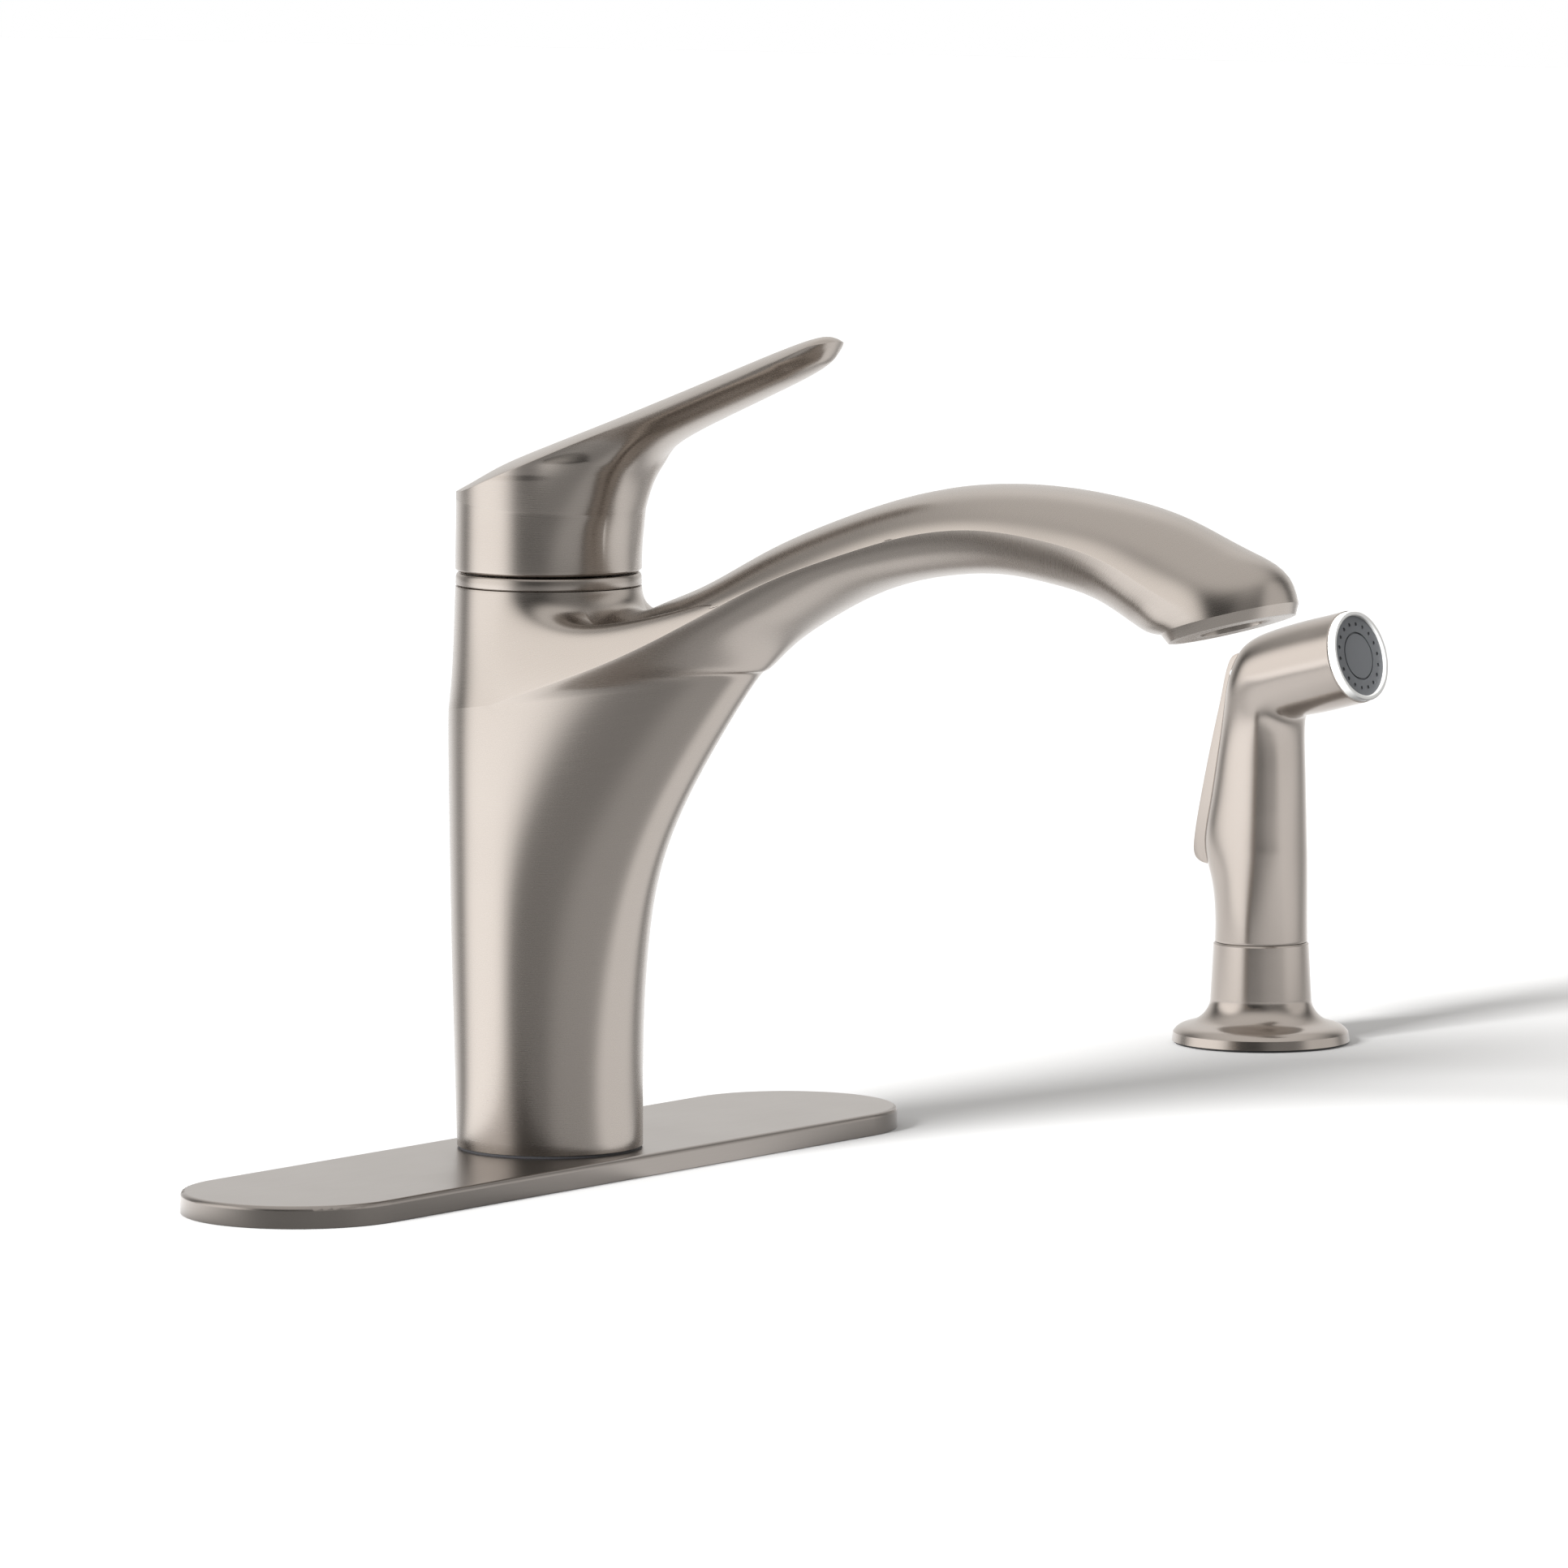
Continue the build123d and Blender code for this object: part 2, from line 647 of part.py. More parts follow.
heel_reach = cap_foot_r - hinge_back
rise = tan(radians(lever_slope))
cap_back_z = cap_z + cap_back_height
crest_z = cap_back_z + crown_r * (1 - cos(atan2(cap_foot_r, crown_r))) * 0.2
with BuildPart() as lever_handle:
    loft(sections=[
        lens(0, lifted(top, cap_z), lifted(under, cap_z), half, 0.5, 0, 0.12)
        for top, under, half in blade_rows
    ])
    with BuildSketch(level(cap_z)):
        with Locations((0, -lever_tip_reach / 2 + lever_tip_r / 2)):
            Rectangle(4 * cap_foot_r, lever_tip_reach - lever_tip_r)
        with Locations((0, -(lever_tip_reach - lever_tip_r))):
            Ellipse(lever_tip_r * 1.12, lever_tip_r)
    extrude(amount=120, mode=Mode.INTERSECT)
    with BuildSketch(front_view):
        with BuildLine():
            Polyline(
                (0, cap_z),
                (cap_foot_r - 0.8, cap_z),
                (cap_foot_r, cap_z + 0.8),
                (cap_foot_r - 0.25, cap_z + cap_back_height),
                (cap_foot_r - 0.25, cap_z + 50),
                (0, cap_z + 50),
                close=True,
            )
        make_face()
    revolve(axis=Axis.Z)
    # crowned top, rising forward from the back rim
    with BuildSketch(across(-60, crest_z - (60 - cap_foot_r) * rise, lever_slope)):
        Rectangle(200, 200)
        with Locations((0, -crown_r)):
            Circle(crown_r, mode=Mode.SUBTRACT)
        with Locations((0, -100 - crown_r)):
            Rectangle(200, 200, mode=Mode.SUBTRACT)
    extrude(amount=220, mode=Mode.SUBTRACT)
    fillet(lever_handle.edges().filter_by(lambda edge: edge.center().Z > cap_z + 15)
           .sort_by(Axis.Y)[-1], 0.6)
    # room for the cartridge, the carrier and the stem
    with BuildSketch(level(cap_z)):
        Circle(cap_inner_r)
    extrude(amount=cap_room_height, mode=Mode.SUBTRACT)
    with BuildSketch(level(cap_z)):
        Circle(stem_room_r)
    extrude(amount=stem_room_height, mode=Mode.SUBTRACT)
    # knuckle on the hinge pin
    with BuildSketch(side_view):
        with BuildLine():
            Polyline(
                (-hinge_back - hinge_eye_r, hinge_z),
                (-hinge_back + hinge_eye_r, hinge_z),
                (-hinge_back + hinge_eye_r, cap_z + cap_room_height + 0.2),
                (-hinge_back - hinge_eye_r, cap_z + cap_room_height + 0.2),
                close=True,
            )
        make_face()
        with Locations((-hinge_back, hinge_z)):
            Circle(hinge_eye_r)
    extrude(amount=knuckle_half, both=True)
    with BuildSketch(side_view):
        with Locations((-hinge_back, hinge_z)):
            Circle(hinge_pin_r + running_gap)
    extrude(amount=ear_outer, both=True, mode=Mode.SUBTRACT)
    # two prongs that lift the stem
    with BuildSketch(level(hinge_z - prong_thick / 2)):
        for side in (1, -1):
            with Locations((side * (cap_inner_r + stem_neck_r + 0.8) / 2, 0)):
                Rectangle(cap_inner_r - stem_neck_r, 2 * prong_half_depth)
    extrude(amount=prong_thick)
    # heel relief behind the hinge
    with BuildSketch(side_view):
        with BuildLine():
            Polyline(
                (-hinge_back, cap_z - 0.5),
                (-hinge_back, cap_z),
                (-cap_foot_r - 1, cap_z + (heel_reach + 1) * tan(radians(lift_angle + 1))),
                (-cap_foot_r - 1, cap_z - 0.5),
                close=True,
            )
        make_face()
    extrude(amount=cap_foot_r, both=True, mode=Mode.SUBTRACT)
lever_handle.part.label = "lever_handle"

# ================================================================ body and spout, one shell
round_foot = lens(0, (-body_foot_r, foot_z), (body_foot_r, foot_z), body_foot_r)
crease_top = (-crease_r, foot_z + crease_height)
crease_section = lens(
    0, crease_top, lifted(crease_front, foot_z), crease_r, crease_share
)
column_sections = [round_foot]
for top, under, half, share in column_rows:
    column_sections.append(lens(0, lifted(top, foot_z), lifted(under, foot_z), half, share))
column_sections.append(crease_section)

mouth_angle = radians(mouth_tilt)
mouth_z = foot_z + mouth_height
lip_centre = (mouth_reach - lip_drop * sin(mouth_angle), mouth_z + lip_drop * cos(mouth_angle))
lip_top = (lip_centre[0] + lip_r * cos(mouth_angle), lip_centre[1] + lip_r * sin(mouth_angle))
lip_under = (lip_centre[0] - lip_r * cos(mouth_angle), lip_centre[1] - lip_r * sin(mouth_angle))
spout_sections = [crease_section]
for number, (top, under, half, share) in enumerate(spout_rows):
    fade = min(number / 3, 1, (len(spout_rows) - 1 - number) / 3)
    middle = (top[0] + under[0]) / 2
    spout_sections.append(lens(
        0, lifted(with_mouth(top, middle), foot_z), lifted(with_mouth(under, middle), foot_z),
        half, share, dome_lean * fade, keel_lean * fade,
    ))
spout_sections.append(lens(0, lip_top, lip_under, lip_r))

# the collar's foot lies just inside the crease section and is widest at the same reach
slope = (crease_front[1] - crease_height) / (crease_front[0] + crease_r)
foot_r = crease_r - crease_ledge
foot_back_z = foot_z + crease_height - crease_sink
widest_reach = crease_share * (crease_front[0] + crease_r) - crease_r
collar_foot_back = (-foot_r, foot_back_z + slope * crease_ledge)
collar_foot_front = (foot_r, foot_back_z + slope * (crease_r + foot_r))
collar_foot_share = (foot_r + widest_reach) / (2 * foot_r)
collar_mid_z = foot_z + crease_height + collar_mid_rise
collar_mid_r = body_top_r + collar_swell
mouth_plane = Plane(
    origin=(0, -mouth_reach, mouth_z), x_dir=(1, 0, 0),
    z_dir=(0, -sin(mouth_angle), -cos(mouth_angle)),
)
water_points = [(bore_r - 3, gallery_z + water_start_rise)]
for point in water_rows:
    water_points.append(lifted(with_mouth(point, point[0]), foot_z))
water_points.append((mouth_reach - 2 * sin(mouth_angle), mouth_z + 2))
with BuildPart() as spout_hollow:
    with BuildLine() as water_path:
        FilletPolyline(*[(0, -reach, z) for reach, z in water_points], radius=water_bend)
    with BuildSketch(Plane(origin=water_path.line @ 0, z_dir=water_path.line % 0)):
        Circle(waterway_r)
    sweep(path=water_path.line)
    with BuildSketch(level(foot_z)):
        Circle(bore_r)
    extrude(amount=body_height)
    with BuildSketch(mouth_plane):
        Circle(aerator_r)
    extrude(amount=-aerator_depth)

collar_sections = [
    lens(0, collar_foot_back, collar_foot_front, foot_r, collar_foot_share),
    lens(0, (-collar_mid_r, collar_mid_z), (collar_mid_r, collar_mid_z + 2), collar_mid_r),
    lens(0, (-body_top_r, body_top_z), (body_top_r, body_top_z), body_top_r),
]
# the column and the spout share the crease section, so they are joined here as whole lofts
body_form = (
    loft(sections=column_sections) + loft(sections=spout_sections) + loft(sections=collar_sections)
)
with BuildPart() as spout_body:
    add(body_form)
    with BuildSketch(mouth_plane.offset(-lip_drop)):
        Circle(lip_r - lip_step)
    with BuildSketch(mouth_plane):
        Circle(mouth_r)
    loft()
    add(spout_hollow.part, mode=Mode.SUBTRACT)
spout_body.part.label = "spout_body"

# ================================================================ aerator in the spout's mouth
with BuildPart() as aerator_housing:
    with BuildSketch(mouth_plane.offset(-aerator_inset)):
        Circle(aerator_r - thread_gap)
        Circle(aerator_r - aerator_wall, mode=Mode.SUBTRACT)
    extrude(amount=-(aerator_depth - aerator_inset - aerator_washer_thick))
aerator_housing.part.label = "aerator_housing"

screen_r = aerator_r - aerator_wall - thread_gap
screen_spots = [
    (column * screen_pitch, row * screen_pitch)
    for column in range(-4, 5)
    for row in range(-4, 5)
    if (column ** 2 + row ** 2) ** 0.5 * screen_pitch < screen_r - 1.4
]
with BuildPart() as aerator_screen:
    with BuildSketch(mouth_plane.offset(-aerator_inset - screen_inset)):
        Circle(screen_r)
        with Locations(*screen_spots):
            Rectangle(screen_hole, screen_hole, mode=Mode.SUBTRACT)
    extrude(amount=-screen_thick)
aerator_screen.part.label = "aerator_screen"

with BuildPart() as aerator_washer:
    with BuildSketch(mouth_plane.offset(-aerator_depth)):
        Circle(aerator_r - 0.1)
        Circle(aerator_r - 2.5, mode=Mode.SUBTRACT)
    extrude(amount=aerator_washer_thick)
aerator_washer.part.label = "aerator_washer"

# ================================================================ hardware under the deck
with BuildPart() as mounting_washer:
    with BuildSketch(level(-deck_thick - washer_thick)):
        Circle(washer_r)
        Circle(shank_r + joint_gap, mode=Mode.SUBTRACT)
    extrude(amount=washer_thick)
    chamfer(mounting_washer.faces().sort_by(Axis.Z)[0].outer_wire().edges(), 0.5)
mounting_washer.part.label = "mounting_washer"

with BuildPart() as mounting_nut:
    with BuildSketch(level(nut_z)):
        RegularPolygon(mounting_nut_across / 2, 6, major_radius=False)
        Circle(shank_r + thread_gap, mode=Mode.SUBTRACT)
    extrude(amount=mounting_nut_height)
    with BuildSketch(front_view):
        with BuildLine():
            Polyline(
                (mounting_nut_across / 2 - 0.6, nut_z - 1),
                (mounting_nut_across / 2 + 6, nut_z - 1),
                (mounting_nut_across / 2 + 6, nut_z + 3.6),
                close=True,
            )
        make_face()
    revolve(axis=Axis.Z, mode=Mode.SUBTRACT)
mounting_nut.part.label = "mounting_nut"

nipple_top = inlet_floor_z + nipple_socket
nipple_bottom = shank_z - nipple_drop


def nipple(angle):
    """Threaded tube end with a hexagon collar, below the valve body."""
    x = passage_spread * cos(radians(angle))
    y = passage_spread * sin(radians(angle))
    with BuildPart() as tube:
        with BuildSketch(level(nipple_bottom, x, y)):
            Circle(nipple_r)
        extrude(amount=nipple_top - nipple_bottom)
        with BuildSketch(level(nipple_bottom + nipple_hex_drop, x, y)):
            RegularPolygon(nipple_r + nipple_hex_gap, 6, major_radius=False)
        extrude(amount=nipple_hex_height)
        with BuildSketch(level(nipple_bottom, x, y)):
            Circle(nipple_bore_r)
        extrude(amount=nipple_top - nipple_bottom, mode=Mode.SUBTRACT)
        chamfer(tube.faces().sort_by(Axis.Z)[0].outer_wire().edges(), 0.6)
    return tube.part


fittings = []
for number, nipple_name in enumerate(("cold_inlet", "hot_inlet", "spray_outlet")):
    fitting = nipple(passage_turn + 120 * number)
    fitting.label = nipple_name
    fittings.append(fitting)

# ================================================================ side spray holder
with BuildPart() as spray_gasket:
    with BuildSketch(level(0, spray_x)):
        Circle(flange_r - gasket_inset)
        Circle(sleeve_thread_r + joint_gap, mode=Mode.SUBTRACT)
    extrude(amount=spray_gasket_thick)
spray_gasket.part.label = "spray_gasket"

with BuildPart() as spray_holder:
    with BuildSketch(spray_front_view):
        with BuildLine():
            Polyline(
                (holder_bore_r, spray_gasket_thick),
                (flange_r, spray_gasket_thick),
                (flange_r - 0.4, flange_edge),
            )
            Spline(
                (flange_r - 0.4, flange_edge),
                (flange_r - 2.2, flange_top - 0.1),
                (flange_r - 6.6, flange_top + 1.4),
                (collar_root_r + 1.1, flange_top + 4.4),
                (collar_root_r, collar_root_height),
            )
            Polyline(
                (collar_root_r, collar_root_height),
                (collar_r, holder_height - 0.5),
                (collar_r - 0.5, holder_height),
                (holder_bore_r, holder_height),
                (holder_bore_r, spray_gasket_thick),
            )
        make_face()
    revolve(axis=spray_axis)
spray_holder.part.label = "spray_holder"

sleeve_top = holder_height - 2.0
with BuildPart() as spray_sleeve:
    with BuildSketch(spray_front_view):
        with BuildLine():
            Polyline(
                (sleeve_bore_r, sleeve_top),
                (sleeve_bore_r, -sleeve_drop),
                (sleeve_thread_r, -sleeve_drop),
                (sleeve_thread_r, spray_gasket_thick),
                (sleeve_r, spray_gasket_thick),
                (sleeve_r, sleeve_top),
                close=True,
            )
        make_face()
    revolve(axis=spray_axis)
    chamfer(spray_sleeve.faces().sort_by(Axis.Z)[-1].inner_wires()[0].edges(), 0.8)
spray_sleeve.part.label = "spray_sleeve"

with BuildPart() as spray_washer:
    with BuildSketch(level(-deck_thick - washer_thick, spray_x)):
        Circle(spray_nut_r + 2)
        Circle(sleeve_thread_r + joint_gap, mode=Mode.SUBTRACT)
    extrude(amount=washer_thick)
spray_washer.part.label = "spray_washer"

with BuildPart() as spray_nut:
    with BuildSketch(level(-deck_thick - washer_thick - spray_nut_height, spray_x)):
        Circle(spray_nut_r - 2)
        with PolarLocations(spray_nut_r - 2, 4):
            Rectangle(8, 5)
        Circle(sleeve_thread_r + thread_gap, mode=Mode.SUBTRACT)
    extrude(amount=spray_nut_height)
spray_nut.part.label = "spray_nut"

# ================================================================ handset
barrel_angle = radians(barrel_tilt)
barrel_z = handset_z + barrel_end_height


def barrel_plane(distance):
    """Plane square to the barrel, at a distance beyond the barrel's end."""
    return across(
        barrel_end_reach + distance * cos(barrel_angle), barrel_z + distance * sin(barrel_angle),
        barrel_tilt, spray_x,
    )


def barrel_circle(distance):
    """Section of the barrel as top and under points of the side view."""
    reach = barrel_end_reach + distance * cos(barrel_angle)
    z = barrel_z + distance * sin(barrel_angle)
    rise_reach = -barrel_r * sin(barrel_angle)
    rise_z = barrel_r * cos(barrel_angle)
    return ((reach + rise_reach, z + rise_z), (reach - rise_reach, z - rise_z), barrel_r)


pocket_half = trigger_half + joint_gap
handset_sections = [
    lens(spray_x, (-handset_foot_r, handset_z), (handset_foot_r, handset_z), handset_foot_r)
]
for back, front, half in grip_rows:
    handset_sections.append(lens(spray_x, lifted(back, handset_z), lifted(front, handset_z), half))
for distance in (-barrel_straight, 0):
    handset_sections.append(lens(spray_x, *barrel_circle(distance)))
plunger_z = handset_z + plunger_height
pin_z = handset_z + trigger_pin_height
with BuildPart() as handset_body:
    loft(sections=handset_sections)
    with BuildSketch(level(handset_z, spray_x, -handset_channel_reach)):
        Circle(handset_channel_r)
    extrude(amount=barrel_end_height - 8, mode=Mode.SUBTRACT)
    with BuildSketch(level(handset_z, spray_x)):
        Circle(tail_r + thread_gap)
    extrude(amount=tail_seat, mode=Mode.SUBTRACT)
    with BuildSketch(barrel_plane(0)):
        Circle(barrel_bore_r)
    extrude(amount=-(barrel_end_reach - 6), mode=Mode.SUBTRACT)
    # pocket for the trigger
    with BuildSketch(spray_side_view):
        with BuildLine():
            Polyline(
                (pocket_open, handset_z + pocket_floor[0][1]),
                *[lifted(point, handset_z) for point in pocket_floor],
                (pocket_open, handset_z + pocket_floor[-1][1]),
                close=True,
            )
        make_face()
    extrude(amount=pocket_half, both=True, mode=Mode.SUBTRACT)
    with BuildSketch(spray_side_view):
        with Locations((trigger_pin_reach, pin_z)):
            Circle(trigger_pin_r + press_gap)
    extrude(amount=trigger_pin_half + 0.2, both=True, mode=Mode.SUBTRACT)
    with BuildSketch(across(plunger_bore_start, plunger_z, 0, spray_x)):
        Circle(plunger_r + running_gap)
    extrude(amount=plunger_bore, mode=Mode.SUBTRACT)
handset_body.part.label = "handset_body"

with BuildPart() as trigger_pin:
    with BuildSketch(spray_side_view):
        with Locations((trigger_pin_reach, pin_z)):
            Circle(trigger_pin_r)
    extrude(amount=trigger_pin_half, both=True)
trigger_pin.part.label = "trigger_pin"

with BuildPart() as trigger:
    with BuildSketch(spray_side_view):
        with BuildLine():
            Spline(*[lifted(point, handset_z) for point in trigger_back])
            Polyline(
                lifted(trigger_back[-1], handset_z),
                *[lifted(point, handset_z) for point in trigger_front],
                lifted(trigger_back[0], handset_z),
            )
        make_face()
    extrude(amount=trigger_half, both=True)
    with BuildSketch(spray_side_view):
        with Locations((trigger_pin_reach, pin_z)):
            Circle(trigger_pin_r + running_gap)
    extrude(amount=trigger_half, both=True, mode=Mode.SUBTRACT)
    fillet(trigger.edges().group_by(Axis.Y)[-1], trigger_round)
trigger.part.label = "trigger"

with BuildPart() as valve_plunger:
    with BuildSketch(across(plunger_back, plunger_z, 0, spray_x)):
        Circle(plunger_r)
    extrude(amount=plunger_shank)
    with BuildSketch(across(plunger_back + plunger_shank, plunger_z, 0, spray_x)):
        Circle(plunger_tip_r)
    extrude(amount=plunger_tip)
valve_plunger.part.label = "valve_plunger"

with BuildPart() as hose_tail:
    with BuildSketch(spray_front_view):
        with BuildLine():
            Polyline(
                (tail_bore_r, handset_z + tail_seat),
                (tail_bore_r, handset_z - tail_drop),
                (tail_r - tail_taper - 1, handset_z - tail_drop),
                (tail_r - tail_taper, handset_z - tail_drop + 1),
                (tail_r, handset_z - 3),
                (tail_r, handset_z + tail_seat),
                close=True,
            )
        make_face()
    revolve(axis=spray_axis)
hose_tail.part.label = "hose_tail"

ring_r = barrel_r - nozzle_ring_inset
with BuildPart() as nozzle_ring:
    with BuildSketch(barrel_plane(0)):
        Circle(ring_r)
        Circle(ring_r - nozzle_ring_wall, mode=Mode.SUBTRACT)
    extrude(amount=nozzle_ring_length)
    with BuildSketch(barrel_plane(0)):
        Circle(barrel_bore_r - thread_gap)
        Circle(barrel_bore_r - 1.2, mode=Mode.SUBTRACT)
    extrude(amount=-6)
    with BuildSketch(barrel_plane(0)):
        Circle(ring_r - 0.2)
        Circle(barrel_bore_r - 1.2, mode=Mode.SUBTRACT)
    extrude(amount=0.6)
    fillet(nozzle_ring.faces().sort_by(Axis.Y)[0].edges(), 0.4)
nozzle_ring.part.label = "nozzle_ring"

face_r = ring_r - nozzle_ring_wall - thread_gap
face_top = nozzle_ring_length - face_recess
with BuildPart() as spray_face:
    with BuildSketch(barrel_plane(face_start)):
        Circle(face_r)
        Circle(button_r + button_gap, mode=Mode.SUBTRACT)
        with PolarLocations(jet_circle_r, jet_count):
            Circle(jet_r, mode=Mode.SUBTRACT)
    extrude(amount=face_top - face_start)
    with BuildSketch(barrel_plane(face_start)):
        Circle(barrel_bore_r - 1.5)
        Circle(button_r - 1.5, mode=Mode.SUBTRACT)
    extrude(amount=-1.5)
spray_face.part.label = "spray_face"

with BuildPart() as face_button:
    with BuildSketch(barrel_plane(face_start)):
        Circle(button_r)
    extrude(amount=face_top - face_start)
    with BuildSketch(barrel_plane(face_start)):
        Circle(button_r - 1.6)
    extrude(amount=-4)
face_button.part.label = "face_button"

os.makedirs("parts", exist_ok=True)
pieces = [
    deck_plate, plate_tray, base_ring, valve_body, lower_bush, upper_bush, lower_oring, upper_oring,
    diverter_sleeve, diverter_piston, diverter_spring, cartridge_seal, cartridge, cartridge_nut,
    trim_ring, cartridge_stem, lever_carrier, lever_pin, lever_handle, spout_body,
    aerator_housing, aerator_screen, aerator_washer, mounting_washer, mounting_nut,
    spray_gasket, spray_holder, spray_sleeve, spray_washer, spray_nut,
    handset_body, trigger_pin, trigger, valve_plunger, hose_tail, nozzle_ring, spray_face,
    face_button,
]
for solid in [piece.part for piece in pieces] + fittings:
    export_step(solid, "parts/" + solid.label + ".step")
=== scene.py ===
"""Single-lever kitchen faucet with a side spray, in brushed nickel, on a pale studio floor.

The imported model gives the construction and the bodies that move. This script adds the surfaces
that the eye sees: the swept body and spout, the lever, the spray handset with its trigger, and
the finish of every piece. Lengths in the classes are millimetres, and meshes are made in metres.
"reach" is a distance forward of an axis, so reach = -Y.
"""

import logging
from dataclasses import dataclass, field
from enum import Enum

import bmesh
import bpy
import numpy as np
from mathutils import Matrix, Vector


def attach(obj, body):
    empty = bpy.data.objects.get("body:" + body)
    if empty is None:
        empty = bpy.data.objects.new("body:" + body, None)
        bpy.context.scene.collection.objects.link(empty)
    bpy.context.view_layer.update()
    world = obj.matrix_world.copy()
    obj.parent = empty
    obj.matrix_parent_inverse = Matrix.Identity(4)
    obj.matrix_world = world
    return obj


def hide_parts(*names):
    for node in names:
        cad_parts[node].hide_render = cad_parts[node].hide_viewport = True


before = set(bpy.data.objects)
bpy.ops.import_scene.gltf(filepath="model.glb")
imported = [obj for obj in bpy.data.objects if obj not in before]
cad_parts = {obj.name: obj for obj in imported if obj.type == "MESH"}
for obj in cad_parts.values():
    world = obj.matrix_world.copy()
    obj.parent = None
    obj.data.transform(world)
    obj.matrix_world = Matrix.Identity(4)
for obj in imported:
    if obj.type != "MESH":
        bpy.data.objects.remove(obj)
log = logging.getLogger("faucet")
Array = np.ndarray
Socket = bpy.types.NodeSocket
MM = 0.001
CIRCLE_PULL = 0.5523  # handle length that turns a Bezier quarter into a circle
WELD = 2e-6  # metres: points nearer than this are one vertex


# ================================================================ curves as whole arrays
def row(*values: float) -> Array:
    """A float array of the values given."""
    return np.array(values, dtype=float)


def smooth_step(t: Array) -> Array:
    """3t^2 - 2t^3 with t held between 0 and 1."""
    t = np.clip(t, 0.0, 1.0)
    return t * t * (3.0 - 2.0 * t)


def chord_lengths(points: Array) -> Array:
    """Running length along a polyline, starting at 0.

    Args:
        points: (n, k) array of points.
    """
    steps = np.linalg.norm(np.diff(points, axis=0), axis=1)
    return np.concatenate([[0.0], np.cumsum(steps)])


def spline(knots: Array, values: Array, at: Array) -> Array:
    """Natural cubic spline: second derivatives M solve one tridiagonal system, then each span
    is the cubic that has the values and M at its ends.

    Args:
        knots: (n,) rising parameter of each row.
        values: (n, k) rows to pass through.
        at: (m,) parameters to read.

    Returns:
        (m, k) rows on the spline.
    """
    gap = np.diff(knots)
    count = len(knots)
    system = np.eye(count)
    inner = np.arange(1, count - 1)
    system[inner, inner - 1] = gap[:-1]
    system[inner, inner] = 2.0 * (gap[:-1] + gap[1:])
    system[inner, inner + 1] = gap[1:]
    rate = np.diff(values, axis=0) / gap[:, None]
    right = np.zeros_like(values)
    right[1:-1] = 6.0 * np.diff(rate, axis=0)
    bend = np.linalg.solve(system, right)
    span = np.clip(np.searchsorted(knots, at, side="right") - 1, 0, count - 2)
    width = gap[span][:, None]
    b = (at - knots[span])[:, None] / width
    a = 1.0 - b
    curve = (a**3 - a) * bend[span] + (b**3 - b) * bend[span + 1]
    return a * values[span] + b * values[span + 1] + curve * width**2 / 6.0


def bezier(points: list[Array], t: Array) -> Array:
    """Cubic Bezier (1-t)^3 A + 3(1-t)^2 t B + 3(1-t) t^2 C + t^3 D, for whole arrays of curves.

    Args:
        points: four control arrays of shape (m, k).
        t: (n,) parameters.

    Returns:
        (m, n, k) points, one curve for each row of the control arrays.
    """
    t = t[None, :, None]
    a, b, c, d = (p[:, None, :] for p in points)
    s = 1.0 - t
    return s**3 * a + 3.0 * s**2 * t * b + 3.0 * s * t**2 * c + t**3 * d


def hermite(start: Array, end: Array, leave: Array, arrive: Array, t: Array) -> Array:
    """Cubic Hermite rows: from start along leave, to end along arrive.

    Args:
        start, end, leave, arrive: (n, 3) arrays.
        t: (m,) parameters from 0 to 1.

    Returns:
        (m, n, 3) grid, its first row on start and its last on end.
    """
    t = t[:, None, None]
    first = (2 * t**3 - 3 * t**2 + 1) * start + (t**3 - 2 * t**2 + t) * leave
    return first + (3 * t**2 - 2 * t**3) * end + (t**3 - t**2) * arrive


def unit(v: Array) -> Array:
    """Rows scaled to length 1."""
    return v / np.maximum(np.linalg.norm(v, axis=-1, keepdims=True), 1e-12)


def space(x: Array, reach: Array, z: Array) -> Array:
    """Points from sideways, forward and upward distances, where forward is -Y."""
    x, reach, z = np.broadcast_arrays(x, reach, z)
    return np.stack([x, -reach, z], axis=-1)


def ring(radius: float, z: float, count: int = 96, x: float = 0.0) -> Array:
    """Level circle as a closed row: (radius cos a, radius sin a, z), its last point its first."""
    a = np.linspace(0.0, 2.0 * np.pi, count + 1)
    return np.stack([x + radius * np.cos(a), radius * np.sin(a), np.full_like(a, z)], axis=-1)


